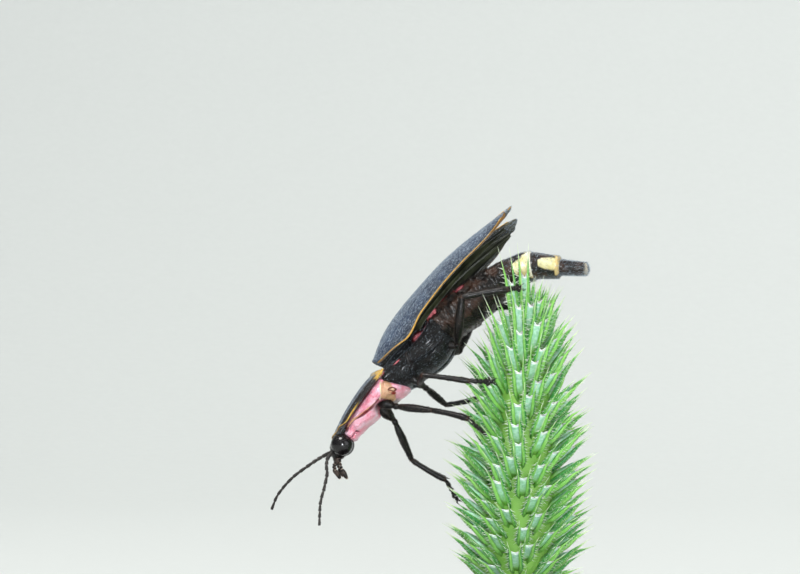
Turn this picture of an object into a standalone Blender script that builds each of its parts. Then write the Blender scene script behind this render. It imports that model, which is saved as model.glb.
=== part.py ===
"""A firefly at life size, head down on the seed head of a meadow grass, on a plain display stand.

The beetle climbs down towards -X with its left side towards -Y, rolled a little so that its belly
turns that way. Lengths are written in millimetres and become metres when a mesh is made. The
origin is the centre of the stand's underside, and +Z is up.
"""

import math
import random

import bmesh
import bpy
import numpy as np

MM = 0.001
GAP = 0.3  # air between neighbouring solids

# The way the beetle is turned: its middle plane holds the long direction of its back, and leans
# away from -Y by the roll. The plane crosses Y = 0 at the given height along the flat upward way.
ROLL = math.radians(14)
HEADING = math.radians(48.7)
PLANE_HEIGHT = 14.0

# The beetle's long axis from the front of the prothorax to the tip of the abdomen. Each row has
# x and z on the axis, the half width, and the height of the body above and below the axis.
SPINE = [
    (-5.20, 15.25, 0.90, 0.45, 0.40),
    (-4.45, 16.45, 1.30, 0.50, 0.66),
    (-3.45, 17.85, 1.75, 0.50, 1.04),
    (-2.40, 18.95, 1.75, 0.95, 1.25),
    (-0.74, 20.42, 1.95, 1.20, 1.45),
    (0.22, 21.76, 1.90, 1.25, 1.30),
    (1.60, 22.90, 1.85, 1.30, 1.35),
    (3.10, 24.05, 1.75, 1.12, 1.12),
    (4.50, 24.92, 1.55, 0.93, 0.93),
    (5.50, 25.30, 1.40, 0.86, 0.86),
    (6.60, 25.27, 1.10, 0.68, 0.68),
    (8.90, 25.12, 0.60, 0.40, 0.40),
]

# The lengths of the body, as distances along the axis
PROTHORAX = (0.0, 3.35)
MESOTHORAX = (3.65, 5.55)
METATHORAX = (5.85, 8.10)
ABDOMEN = {
    "abdomen_front": (8.50, 11.45, 3),
    "abdomen_middle": (11.75, 13.55, 2),
    "lantern_front": (13.85, 14.95, 1),
    "lantern_rear": (15.35, 16.55, 1),
    "abdomen_tip": (16.85, 18.30, 1),
}
SEGMENT_STEP = 0.06  # how much narrower a segment starts than the one before it ends
SEGMENT_JOINT = 0.03  # how much of a segment's length each of its joints takes
BODY_SIDES = 18
BODY_POWER = 2.2

# The shield over the prothorax
PRONOTUM_START = -0.95
PRONOTUM_LENGTH = 4.36
PRONOTUM_HALF_WIDTH = 2.1
PRONOTUM_KEEL = 1.2  # height of the keel above the axis
PRONOTUM_MARGIN = 0.33  # height of the side edges above the axis
PRONOTUM_FRONT_BOW = 1.2  # how far the middle of the front edge passes its corners
HIND_ANGLE = 0.75  # how far the rear corners pass the middle of the rear edge
PRONOTUM_RIDGE = 0.14
PRONOTUM_THICKNESS = 0.45
PRONOTUM_THIN = 0.65  # the part of its thickness that the front edge has
PRONOTUM_NARROW = 0.62  # the part of its width that the front corners have
PRONOTUM_WIDEST = 0.75  # where it first has its full width, as a share of its length
PRONOTUM_LIFT = 0.2  # how far the front edge turns up at the sides and down in the middle
PRONOTUM_ARCH = 1.8  # the power of its cross section and of its front edge
PRONOTUM_ROOM = 0.42  # the growth that keeps its neighbours clear of it

# The wing cases: x and z of the seam between them, from the shoulders to the tips
SEAM = [(-4.02, 19.50), (-3.30, 21.50), (-1.75, 23.72), (0.66, 26.20), (4.25, 28.70)]
CASE_HALF_GAP = 0.17
CASE_TIP_PART = 0.62  # how far the tip's inner edge lies from the middle
CASE_WIDTH = [1.15, 2.05, 2.10, 2.15, 2.05, 1.70, 0.75]
CASE_DROP = [0.60, 2.00, 1.86, 1.74, 1.54, 1.20, 0.28]
CASE_THICKNESS = 0.5
CASE_ARCH = 2.1  # the power of its cross section
CASE_ROUNDING = 0.55  # how far the corners of the tip are cut back

# The flight wings, folded flat below the cases
WING_START, WING_END = 0.30, 0.90
WING_WIDTH = 0.62  # as a share of the case's width
WING_TAPER = 0.35
WING_DEPTH = CASE_THICKNESS + 0.52
WING_FALL = 1.45  # how fast it falls away sideways, against the case's own drop
WING_THICKNESS = 0.45
WING_VEIN = 0.14
WING_COLUMNS = 6

# The head, seen from the side: its middle, and the mouth that it points down to
HEAD = (-5.71, 14.51)
MOUTH = (-6.18, 13.78)
HEAD_ABOVE = 0.55
HEAD_HEIGHT = 1.30
HEAD_SECTIONS = [
    (0, 0.22, 0.30), (0.2, 0.34, 0.46), (0.5, 0.36, 0.52), (0.8, 0.34, 0.46), (1.0, 0.26, 0.32)
]
EYE_RADIUS = 0.64
EYE_DEPTH = 0.55
EYE_RINGS = 5
EYE_FACE = 0.66  # distance from the middle of the head to the flat root of an eye

ANTENNA_RADIUS = 0.22
ANTENNA_TIP_RADIUS = 0.14
ANTENNAE = {
    "antenna_left": [
        (-6.60, -0.46, 13.98), (-6.81, -0.62, 13.50), (-6.80, -0.75, 12.90), (-6.92, -0.85, 12.08),
        (-7.16, -1.00, 11.11), (-7.22, -1.20, 9.81),
    ],
    "antenna_right": [
        (-6.62, 0.33, 14.08), (-7.25, 0.50, 13.74), (-7.95, 0.85, 13.28), (-8.90, 1.30, 12.55),
        (-9.75, 1.75, 11.55), (-10.16, 2.10, 10.61),
    ],
}
ANTENNA_SEGMENTS = 11

JAW = (-6.24, 13.36)
JAW_HALF_WIDTH = 0.22
JAW_RADIUS = 0.2
PALPS = {
    "inner": [(-6.20, 0.15, 13.36), (-6.24, 0.30, 13.00), (-6.02, 0.36, 12.55)],
    "outer": [(-6.14, -0.25, 13.36), (-5.86, -0.38, 13.02), (-5.56, -0.42, 12.55)],
}
PALP_RADIUS = 0.17
PALP_STEPS = 5
PALP_SWELLS = (0.9, 0.75, 1.0, 0.8, 1.1, 0.6)

# Each leg runs from inside the body through the trochanter, knee and ankle to the toe
LEGS = {
    "leg_fore_left": [
        (-3.55, -0.50, 17.20), (-2.75, -0.85, 16.93), (-0.47, -1.95, 16.71), (1.66, -2.70, 16.24),
        (2.62, -2.90, 15.35),
    ],
    "leg_fore_right": [
        (-3.60, 0.05, 16.90), (-2.75, 0.50, 16.05), (-1.70, 1.35, 13.65), (0.34, 1.30, 12.45),
        (1.05, 1.05, 11.25),
    ],
    "leg_mid_left": [
        (-1.95, -0.70, 18.90), (-1.25, -1.25, 18.30), (-1.05, -2.95, 18.84), (1.74, -3.30, 18.48),
        (3.10, -3.25, 18.45),
    ],
    "leg_mid_right": [
        (-1.85, 0.20, 18.70), (-0.92, 0.75, 18.05), (0.39, 2.15, 16.93), (2.70, 2.50, 17.40),
        (3.85, 2.70, 17.25),
    ],
    "leg_hind_left": [
        (0.05, -0.70, 20.75), (1.00, -1.35, 20.50), (1.26, -2.75, 23.46), (4.02, -2.75, 23.92),
        (4.78, -2.10, 24.02),
    ],
    "leg_hind_right": [
        (0.25, 0.20, 20.35), (1.15, 0.75, 20.15), (2.20, 2.40, 22.60), (4.55, 2.40, 22.95),
        (5.45, 1.80, 22.55),
    ],
}
THIGH_BOW = {"fore": 0.05, "mid": 0.05, "hind": 0.45}
COXA_RADIUS = 0.40
FEMUR_RADIUS = 0.31
TIBIA_RADIUS = 0.25
TARSUS_RADIUS = 0.25
THIGH_SWELLS = (0.82, 0.95, 1.0, 0.95, 0.8)
FOOT_JOINTS = 5
CLAW_RADIUS = 0.11
CLAW_LENGTH = 0.42
CLAW_SPREAD = 0.75
CLAW_SWELLS = [(0.08, 1.3), (0.28, 1.0), (CLAW_LENGTH, 0.4)]  # reach past the toe, and thickness

# The seed head: its axis leans a little towards +X as it rises, and carries spikelets in a spiral
SPIKE_FOOT = (4.62, -0.60, 5.60)
SPIKE_TOP = (5.26, -0.60, 23.60)
CORE_RADIUS = [1.45, 2.00, 2.10, 2.00, 1.85, 1.70, 1.40, 0.95, 0.35]
STEM_RADIUS = 0.65
SPIKELETS = 118
SPIKELET_TURN = math.radians(137.5)
SPIKELET_TILTS = [62, 56, 52, 50, 46, 41, 33, 24, 12]  # degrees away from the axis, foot to top
SPIKELET_SWING = 5  # degrees that one may turn out of the spiral
SPIKELET_NOD = 4  # degrees that one may rise or droop
SPIKELET_LENGTH = 2.25
SPIKELET_WIDTH = 1.0
SPIKELET_DEPTH = 0.62
# Width, depth and bend outwards of a spikelet at its root, its middle and its square top
SPIKELET_PROFILE = [(0.45, 0.7, 0.10), (1.0, 1.0, 0.0), (0.82, 0.5, -0.16)]
SPIKELET_SECTION = [(-1, 0), (-0.42, 1), (0.42, 1), (1, 0), (0.42, -1), (-0.42, -1)]
AWN_LENGTH = 0.85
AWN_SPREAD = 0.52
ROOT_DEPTH = 0.45  # how far a spikelet starts inside the core
PERCH_SIDES = 12

STAND_BASE_RADIUS = 13.0
STAND_BASE_HEIGHT = 1.6
STAND_EDGE = 0.25
STAND_ROD_RADIUS = 0.65
STAND_ROD_TOP = 3.9

DEPTH = np.array((0.0, 1.0, 0.0))
FLAT_UP = np.array((-math.sin(HEADING), 0, math.cos(HEADING)))
LEFT = FLAT_UP * math.sin(ROLL) - DEPTH * math.cos(ROLL)


def unit(vector):
    return vector / np.linalg.norm(vector)


def smooth(rows, t):
    """A row of the smooth curve through evenly numbered rows, at t from 0 to 1."""
    rows = [np.atleast_1d(np.array(row, float)) for row in rows]
    place = t * (len(rows) - 1)
    i = min(max(int(place), 0), len(rows) - 2)
    f = place - i
    p1, p2 = rows[i], rows[i + 1]
    p0 = rows[i - 1] if i else 2 * p1 - p2
    p3 = rows[i + 2] if i + 2 < len(rows) else 2 * p2 - p1
    slope, bend = p2 - p0, 2 * p0 - 5 * p1 + 4 * p2 - p3
    return 0.5 * (2 * p1 + slope * f + bend * f**2 + (3 * (p1 - p2) - p0 + p3) * f**3)


def in_plane(x, z, left=0.0):
    """The point of the beetle's middle plane that has this x and z, or one to the left of it."""
    flat = np.array((x, 0, z), float)
    lean = (np.dot(flat, FLAT_UP) - PLANE_HEIGHT) * math.tan(ROLL)
    return flat + DEPTH * lean + LEFT * left


class Axis:
    """A smooth line in the middle plane, which gives the ways back and up along it."""

    def __init__(self, rows, samples=400):
        self.rows = rows
        self.steps = np.linspace(0, 1, samples)
        points = np.array([in_plane(*smooth(rows, t)[:2]) for t in self.steps])
        pieces = np.linalg.norm(np.diff(points, axis=0), axis=1)
        self.lengths = np.concatenate([[0], np.cumsum(pieces)])
        self.length = self.lengths[-1]

    def row(self, distance):
        return smooth(self.rows, float(np.interp(distance, self.lengths, self.steps)))

    def ways(self, distance):
        step = 0.05
        inside = min(max(distance, step), self.length - step)
        back = in_plane(*self.row(inside + step)[:2]) - in_plane(*self.row(inside - step)[:2])
        back = unit(back)
        return back, np.cross(LEFT, back)

    def point(self, distance, left=0.0, up=0.0):
        """A point beside the line, which runs straight on past its ends."""
        inside = min(max(distance, 0), self.length)
        back, up_way = self.ways(distance)
        start = in_plane(*self.row(inside)[:2])
        return start + back * (distance - inside) + LEFT * left + up_way * up


BODY_AXIS = Axis(SPINE)
CASE_AXIS = Axis(SEAM)


def start_scene():
    for thing in list(bpy.data.objects):
        bpy.data.objects.remove(thing)
    bpy.context.scene.unit_settings.system = "METRIC"


def finish_of(name, colour, roughness, metallic=0.0):
    """A Principled material, made once for each name."""
    found = bpy.data.materials.get(name)
    if found:
        return found
    material = bpy.data.materials.new(name)
    material.use_nodes = True
    shader = material.node_tree.nodes["Principled BSDF"]
    shader.inputs["Base Color"].default_value = (*colour, 1)
    shader.inputs["Roughness"].default_value = roughness
    shader.inputs["Metallic"].default_value = metallic
    return material


def black_shell():
    return finish_of("black_shell", (0.012, 0.012, 0.014), 0.35)


def slate_shell():
    return finish_of("slate_shell", (0.045, 0.055, 0.085), 0.5)


def rose_skin():
    return finish_of("rose_skin", (0.80, 0.27, 0.30), 0.45)


def brown_shell():
    return finish_of("brown_shell", (0.045, 0.022, 0.014), 0.4)


def lantern_cream():
    return finish_of("lantern_cream", (0.85, 0.72, 0.32), 0.5)


def wing_membrane():
    return finish_of("wing_membrane", (0.035, 0.030, 0.030), 0.4)


def green_glume():
    return finish_of("green_glume", (0.20, 0.45, 0.14), 0.5)


def solid(name, points, faces, material):
    """A closed mesh object in metres, its faces turned outwards."""
    mesh = bpy.data.meshes.new(name)
    mesh.from_pydata([tuple(np.array(point) * MM) for point in points], [], faces)
    edit = bmesh.new()
    edit.from_mesh(mesh)
    bmesh.ops.recalc_face_normals(edit, faces=edit.faces)
    edit.to_mesh(mesh)
    edit.free()
    mesh.shade_smooth()
    mesh.set_sharp_from_angle(angle=math.radians(40))
    mesh.materials.append(material)
    thing = bpy.data.objects.new(name, mesh)
    bpy.context.scene.collection.objects.link(thing)
    return thing


def skin(name, rings, material):
    """A solid through rings of equal point counts, closed by its first and last ring."""
    count = len(rings[0])
    points = [point for ring in rings for point in ring]
    faces = [list(range(count))[::-1], list(range(len(points) - count, len(points)))]
    for r in range(len(rings) - 1):
        for k in range(count):
            a, b = r * count + k, r * count + (k + 1) % count
            faces.append([a, b, b + count, a + count])
    return solid(name, points, faces, material)


def oval(centre, side, rise, half_width, above, below, count, power=2.0):
    """The points of an oval ring, squarer as the power passes 2."""
    ring = []
    for k in range(count):
        angle = 2 * math.pi * k / count
        across, high = math.cos(angle), math.sin(angle)
        across = math.copysign(abs(across) ** (2 / power), across)
        high = math.copysign(abs(high) ** (2 / power), high)
        reach = above if high >= 0 else below
        ring.append(centre + side * half_width * across + rise * reach * high)
    return ring


def tube(name, path, radii, material, sides=8, grow=0.0):
    """A round bar along a path with rounded ends."""
    path = [np.array(point, float) for point in path]
    radii = [radius + grow / math.cos(math.pi / sides) for radius in radii]
    first, last = unit(path[0] - path[1]), unit(path[-1] - path[-2])
    path = [path[0] + first * radii[0] * 0.6] + path + [path[-1] + last * radii[-1] * 0.6]
    radii = [radii[0] * 0.6] + radii + [radii[-1] * 0.6]
    side = unit(np.cross(last, (0.31, 0.22, 0.93)))
    rings = []
    for i, (point, radius) in enumerate(zip(path, radii)):
        ahead = unit(path[min(i + 1, len(path) - 1)] - path[max(i - 1, 0)])
        side = unit(side - ahead * np.dot(side, ahead))
        rings.append(oval(point, side, np.cross(ahead, side), radius, radius, radius, sides))
    return skin(name, rings, material)


def ways_on(surface, t, u, step=0.01):
    """The ways along, across and out of a surface at t and u."""
    along = unit(surface(min(t + step, 1), u) - surface(max(t - step, 0), u))
    across = unit(surface(t, min(u + step, 1)) - surface(t, max(u - step, 0)))
    normal = unit(np.cross(along, across))
    up = CASE_AXIS.ways(CASE_AXIS.length / 2)[1]
    return along, across, normal if np.dot(normal, up) > 0 else -normal


def no_relief(t, u):
    return 0.0


def sheet(name, surface, rows, columns, thickness, material, grow=0.0, relief=no_relief):
    """A closed plate: surface(t, u) is its upper face for t and u from 0 to 1, raised by the relief."""
    upper, lower = [], []
    for i in range(rows + 1):
        for j in range(columns + 1):
            t, u = i / rows, j / columns
            along, across, normal = ways_on(surface, t, u)
            edge = along * ((i == rows) - (i == 0)) + across * ((j == columns) - (j == 0))
            point = surface(t, u) + edge * grow
            depth = thickness(t) if callable(thickness) else thickness
            upper.append(point + normal * (relief(t, u) + grow))
            lower.append(point - normal * (depth + grow))
    count, wide = len(upper), columns + 1
    faces = []
    for i in range(rows):
        for j in range(columns):
            a = i * wide + j
            for p, q, r in ((a, a + 1, a + wide), (a + 1, a + wide + 1, a + wide)):
                faces += [(p, q, r), (count + r, count + q, count + p)]
    border = [j for j in range(columns)] + [i * wide + columns for i in range(rows)]
    border += [rows * wide + j for j in range(columns, 0, -1)] + [i * wide for i in range(rows, 0, -1)]
    for a, b in zip(border, border[1:] + border[:1]):
        faces.append((a, b, count + b, count + a))
    return solid(name, upper + lower, faces, material)


def largest_surface(mesh):
    """Keeps the closed surface of the mesh that holds the most, which drops scraps and sealed hollows."""
    edit = bmesh.new()
    edit.from_mesh(mesh)
    left, groups = set(edit.faces), []
    while left:
        group, front = set(), [left.pop()]
        while front:
            face = front.pop()
            group.add(face)
            for edge in face.edges:
                for near in edge.link_faces:
                    if near in left:
                        left.remove(near)
                        front.append(near)
        groups.append(group)
    held = {}
    for i, group in enumerate(groups):
        held[i] = sum(
            corner[0].co.dot(corner[1].co.cross(corner[2].co))
            for face in group
            for corner in zip([face.verts[0]] * len(face.verts), face.verts[1:], face.verts[2:])
        )
    best = groups[max(held, key=held.get)]
    bmesh.ops.delete(edit, geom=[face for face in edit.faces if face not in best], context="FACES")
    edit.to_mesh(mesh)
    edit.free()


def combine(target, others, operation, solver="MANIFOLD"):
    """Joins the others to the target, or cuts them from it, and removes them."""
    tools = bpy.data.collections.new(target.name + "_tools")
    for other in others:
        tools.objects.link(other)
    change = target.modifiers.new(operation.lower(), "BOOLEAN")
    change.operation = operation
    change.operand_type = "COLLECTION"
    change.collection = tools
    change.solver = solver
    graph = bpy.context.evaluated_depsgraph_get()
    mesh = bpy.data.meshes.new_from_object(target.evaluated_get(graph))
    target.modifiers.remove(change)
    old, target.data = target.data, mesh
    bpy.data.meshes.remove(old)
    for other in others:
        bpy.data.objects.remove(other)
    bpy.data.collections.remove(tools)
    largest_surface(mesh)
    mesh.name = target.name
    return target


def fuse(name, pieces):
    """One closed solid from overlapping pieces."""
    pieces[0].name = name
    return combine(pieces[0], pieces[1:], "UNION")


def cut(thing, cutters):
    return combine(thing, cutters, "DIFFERENCE")


def segment_stations(start, end, segments, rings):
    """Distances along the body, each with its part of the full width: a segment starts narrower."""
    size = (end - start) / segments
    stations = []
    for k in range(segments):
        first = SEGMENT_JOINT if k else 0
        last = 1 - SEGMENT_JOINT if k < segments - 1 else 1
        for j in range(rings):
            share = j / (rings - 1)
            narrowing = SEGMENT_STEP * (1 - share) ** 2 if segments > 1 else 0
            stations.append((start + size * (k + first + (last - first) * share), 1 - narrowing))
    return stations


def body_length(name, start, end, material, segments=1, grow=0.0, rings=4):
    """A length of the body between two distances along its axis, stepped at each segment."""
    stations = segment_stations(start, end, segments, rings)
    if grow:
        stations = [(start - grow, stations[0][1])] + stations + [(end + grow, stations[-1][1])]
    ring_list = []
    for at, taper in stations:
        up = BODY_AXIS.ways(at)[1]
        width, above, below = (value * taper + grow for value in BODY_AXIS.row(at)[2:])
        ring_list.append(
            oval(BODY_AXIS.point(at), LEFT, up, width, above, below, BODY_SIDES, BODY_POWER)
        )
    return skin(name, ring_list, material)


def pronotum_surface(t, u):
    """The shield's upper face: t runs back along it and u from its left edge to its right edge."""
    across = 1 - 2 * u
    inside = 1 - abs(across) ** PRONOTUM_ARCH
    spread = math.sin(math.pi / 2 * min(t / PRONOTUM_WIDEST, 1))
    half = PRONOTUM_HALF_WIDTH * (PRONOTUM_NARROW + (1 - PRONOTUM_NARROW) * spread)
    corner = HIND_ANGLE * abs(across) ** 2.2 * t**3
    front = PRONOTUM_FRONT_BOW * (1 - inside * (1 - t) ** 1.5)
    edge = PRONOTUM_MARGIN + PRONOTUM_LIFT * (1 - t) ** 2
    top = PRONOTUM_KEEL - PRONOTUM_RIDGE - PRONOTUM_LIFT * (1 - t) ** 4
    distance = PRONOTUM_START + front + (PRONOTUM_LENGTH - PRONOTUM_FRONT_BOW) * t + corner
    return BODY_AXIS.point(distance, across * half, edge + (top - edge) * inside)


def pronotum_thickness(t):
    return PRONOTUM_THICKNESS * (PRONOTUM_THIN + (1 - PRONOTUM_THIN) * min(2.5 * t, 1))


def pronotum_keel(t, u):
    """A ridge along the middle column of the grid, which fades before the rear edge."""
    middle = abs(u - 0.5) < 0.04
    return PRONOTUM_RIDGE * middle * math.sin(math.pi * min(t + 0.15, 1))


def make_pronotum(grow=0.0, name="pronotum"):
    return sheet(name, pronotum_surface, 10, 14, pronotum_thickness, slate_shell(), grow, pronotum_keel)


def case_surface(side):
    """The upper face of one wing case: t runs back along it, u from the seam to the outer edge."""

    def surface(t, u):
        inner = CASE_HALF_GAP + (CASE_TIP_PART - CASE_HALF_GAP) * t**2.4
        width = float(smooth(CASE_WIDTH, t)[0])
        drop = float(smooth(CASE_DROP, t)[0])
        round_end = CASE_ROUNDING * (2 * u - 1) ** 2 * t**8
        distance = CASE_AXIS.length * t - round_end
        return CASE_AXIS.point(distance, side * (inner + width * u), -drop * u**CASE_ARCH)

    return surface


def make_case(name, side, grow=0.0):
    return sheet(name, case_surface(side), 16, 6, CASE_THICKNESS, slate_shell(), grow)


def wing_surface(side):
    """The upper face of a folded flight wing, which follows the hollow of its case."""

    def surface(t, u):
        along = WING_START + (WING_END - WING_START) * t
        across = WING_WIDTH * u * (1 - WING_TAPER * t**4)
        inner = CASE_HALF_GAP + (CASE_TIP_PART - CASE_HALF_GAP) * along**2.4
        width = float(smooth(CASE_WIDTH, along)[0])
        fall = WING_FALL * across**2 * float(smooth(CASE_DROP, along)[0])
        left = side * (inner + width * across)
        return CASE_AXIS.point(CASE_AXIS.length * along, left, -WING_DEPTH - fall)

    return surface


def wing_veins(t, u):
    """Ridges along the folded wing, which fade towards its tip."""
    return WING_VEIN * (round(u * WING_COLUMNS) % 2) * (1 - 0.6 * t)


def make_wing(name, side):
    surface = wing_surface(side)
    return sheet(name, surface, 12, WING_COLUMNS, WING_THICKNESS, wing_membrane(), relief=wing_veins)


def trunk_cutters(*names):
    """Grown copies of lengths of the body, which clear room round them."""
    spans = {"prothorax": PROTHORAX, "mesothorax": MESOTHORAX, "metathorax": METATHORAX}
    spans.update({name: span[:2] for name, span in ABDOMEN.items()})
    return [body_length("cutter", *spans[name], black_shell(), grow=GAP) for name in names]


def pronotum_cutter():
    return make_pronotum(PRONOTUM_ROOM, "cutter")


def case_cutters():
    return [make_case("cutter", side, GAP) for side in (1, -1)]


def make_trunk():
    prothorax = body_length("prothorax", *PROTHORAX, rose_skin(), rings=6)
    cut(prothorax, [pronotum_cutter()])
    mesothorax = body_length("mesothorax", *MESOTHORAX, black_shell())
    metathorax = body_length("metathorax", *METATHORAX, black_shell())
    cut(mesothorax, [*case_cutters(), pronotum_cutter()])
    cut(metathorax, case_cutters())
    for name, (start, end, segments) in ABDOMEN.items():
        finish = lantern_cream() if name.startswith("lantern") else brown_shell()
        body_length(name, start, end, finish, segments)


def make_wings():
    for word, side in (("left", 1), ("right", -1)):
        make_case(f"elytron_{word}", side)
        wing = make_wing(f"hindwing_{word}", side)
        cut(wing, trunk_cutters("metathorax", "abdomen_front", "abdomen_middle"))


def make_eye(name, side):
    """A domed eye, its flat root towards the side of the head."""
    back, up = BODY_AXIS.ways(0)
    rings = []
    for k in range(EYE_RINGS):
        angle = math.pi / 2 * k / EYE_RINGS
        centre = in_plane(*HEAD, side * (EYE_FACE + EYE_DEPTH * math.sin(angle)))
        radius = EYE_RADIUS * math.cos(angle)
        rings.append(oval(centre, back, up, radius, radius, radius, 16))
    cut(skin(name, rings, black_shell()), [pronotum_cutter()])


def make_head():
    down = unit(in_plane(*MOUTH) - in_plane(*HEAD))
    front = np.cross(LEFT, down)
    crown = in_plane(*HEAD) - down * HEAD_ABOVE
    rings = []
    for share, half_width, depth in HEAD_SECTIONS:
        centre = crown + down * HEAD_HEIGHT * share
        rings.append(oval(centre, LEFT, front, half_width, depth, depth, 14, 2.3))
    cut(skin("head", rings, black_shell()), [pronotum_cutter()])


def make_mouth():
    pieces = []
    for path in PALPS.values():
        points = [smooth(path, k / PALP_STEPS) for k in range(PALP_STEPS + 1)]
        radii = [PALP_RADIUS * share for share in PALP_SWELLS]
        pieces.append(tube("palp", points, radii, black_shell(), 7))
    ends = [in_plane(*JAW, side * JAW_HALF_WIDTH) for side in (1, -1)]
    jaw = tube("jaw", ends, [JAW_RADIUS, JAW_RADIUS], black_shell(), 8)
    fuse("mouthparts", [jaw, *pieces])


def antenna(name):
    """A feeler of eleven joints, each a little wider at its end."""
    path = ANTENNAE[name]
    points, radii = [], []
    for k in range(2 * ANTENNA_SEGMENTS):
        share = k / (2 * ANTENNA_SEGMENTS - 1)
        points.append(smooth(path, share))
        wide = ANTENNA_RADIUS + (ANTENNA_TIP_RADIUS - ANTENNA_RADIUS) * share**2
        radii.append(wide * (1.0 if k % 2 else 0.86))
    tube(name, points, radii, black_shell(), 6)


def leg(name, grow=0.0, label=None):
    """One leg as a closed solid: hip, thigh, shin, five-jointed foot and two claws."""
    hip, trochanter, knee, ankle, toe = (np.array(point, float) for point in LEGS[name])
    finish = black_shell()
    hip_side = tube("hip", [hip, trochanter], [COXA_RADIUS, COXA_RADIUS * 0.8], finish, 8, grow)
    outward = DEPTH * math.copysign(THIGH_BOW[name.split("_")[1]], knee[1])
    thigh_path = [
        trochanter + (knee - trochanter) * share + outward * math.sin(math.pi * share)
        for share in (0, 0.25, 0.5, 0.75, 1)
    ]
    thigh_radii = [FEMUR_RADIUS * share for share in THIGH_SWELLS]
    thigh = tube("thigh", thigh_path, thigh_radii, finish, 8, grow)
    shin_path = [knee + (ankle - knee) * share for share in (0, 0.5, 1)]
    shin = tube("shin", shin_path, [TIBIA_RADIUS, TIBIA_RADIUS, TIBIA_RADIUS * 1.1], finish, 8, grow)
    foot_path, foot_radii = [], []
    for k in range(FOOT_JOINTS):
        for share, swell in ((0.1, 0.8), (0.9, 1.0)):
            foot_path.append(ankle + (toe - ankle) * (k + share) / FOOT_JOINTS)
            foot_radii.append(TARSUS_RADIUS * swell)
    foot = tube("foot", foot_path, foot_radii, finish, 6, grow)
    ahead = unit(toe - ankle)
    spread = unit(np.cross(ahead, unit(ankle - knee) + np.array((0, 0.3, 0.1))))
    claws = []
    for side in (1, -1):
        way = unit(ahead + side * CLAW_SPREAD * spread)
        claw_path = [toe + way * reach for reach, swell in CLAW_SWELLS]
        claw_radii = [CLAW_RADIUS * swell for reach, swell in CLAW_SWELLS]
        claws.append(tube("claw", claw_path, claw_radii, finish, 5, grow))
    return fuse(label or name, [thigh, hip_side, shin, foot, *claws])


def make_legs():
    for name in LEGS:
        cut(leg(name), trunk_cutters("prothorax", "mesothorax", "metathorax", "abdomen_front"))


def spike_ways(angle):
    """The way up the seed head, and the way out from it at an angle round it."""
    way = unit(np.array(SPIKE_TOP) - np.array(SPIKE_FOOT))
    side = unit(np.cross(DEPTH, way))
    return way, side * math.cos(angle) + DEPTH * math.sin(angle)


def spike_point(share):
    foot, top = np.array(SPIKE_FOOT), np.array(SPIKE_TOP)
    return foot + (top - foot) * share


def spikelet(share, angle, rng):
    """A flat, square-topped spikelet with an awn at each upper corner."""
    angle += math.radians(rng.uniform(-SPIKELET_SWING, SPIKELET_SWING))
    nod = rng.uniform(-SPIKELET_NOD, SPIKELET_NOD)
    tilt = math.radians(float(smooth(SPIKELET_TILTS, share)[0]) + nod)
    step = (SPIKELET_LENGTH * rng.uniform(0.92, 1.08) + ROOT_DEPTH) / 2
    way, out = spike_ways(angle)
    side = np.cross(way, out)
    place = spike_point(share) + out * float(smooth(CORE_RADIUS, share)[0])
    place = place - (way * math.cos(tilt) + out * math.sin(tilt)) * ROOT_DEPTH
    points = []
    for k, (width, depth, bend) in enumerate(SPIKELET_PROFILE):
        ahead = way * math.cos(tilt + bend) + out * math.sin(tilt + bend)
        if k:
            place = place + ahead * step
        face = np.cross(ahead, side)
        half, thick = SPIKELET_WIDTH * width / 2, SPIKELET_DEPTH * depth / 2
        points += [place + side * half * x + face * thick * y for x, y in SPIKELET_SECTION]
    top = place + ahead * AWN_LENGTH
    points += [top + side * SPIKELET_WIDTH * AWN_SPREAD * across for across in (-1, 1)]
    faces = [[5, 4, 3, 2, 1, 0], [13, 14, 16, 17]]
    for ring in (0, 6):
        for k in range(6):
            after = (k + 1) % 6
            faces.append([ring + k, ring + after, ring + 6 + after, ring + 6 + k])
    faces += [[12, 13, 18], [13, 17, 18], [17, 12, 18], [14, 15, 19], [15, 16, 19], [16, 14, 19]]
    return solid("spikelet", points, faces, green_glume())


def make_perch():
    """The cut length of seed head with a short piece of its stem."""
    way, side = spike_ways(0)
    foot = np.array(SPIKE_FOOT)
    stem_end = np.array((foot[0], foot[1], STAND_ROD_TOP + GAP))
    stations = [(stem_end, STEM_RADIUS), (foot - way * GAP, STEM_RADIUS)]
    for k in range(PERCH_SIDES + 1):
        share = k / PERCH_SIDES
        stations.append((spike_point(share), float(smooth(CORE_RADIUS, share)[0])))
    rings = [oval(at, side, DEPTH, size, size, size, PERCH_SIDES) for at, size in stations]
    rng = random.Random(11)
    pieces = [skin("perch", rings, green_glume())]
    for k in range(SPIKELETS):
        share = (k + 0.5) / SPIKELETS
        pieces.append(spikelet(0.02 + 0.96 * share**1.04, k * SPIKELET_TURN, rng))
    perch = fuse("perch", pieces)
    cutters = [leg(name, GAP, "cutter") for name in LEGS]
    cutters += trunk_cutters("metathorax", *ABDOMEN)
    for cutter in cutters:
        cut(perch, [cutter])


def turned(name, x, y, profile, sides, material):
    """A solid of revolution about an upright axis, from its heights and radii."""
    rings = []
    for height, radius in profile:
        centre = np.array((x, y, height))
        rings.append(oval(centre, np.array((1.0, 0, 0)), DEPTH, radius, radius, radius, sides))
    return skin(name, rings, material)


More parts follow.
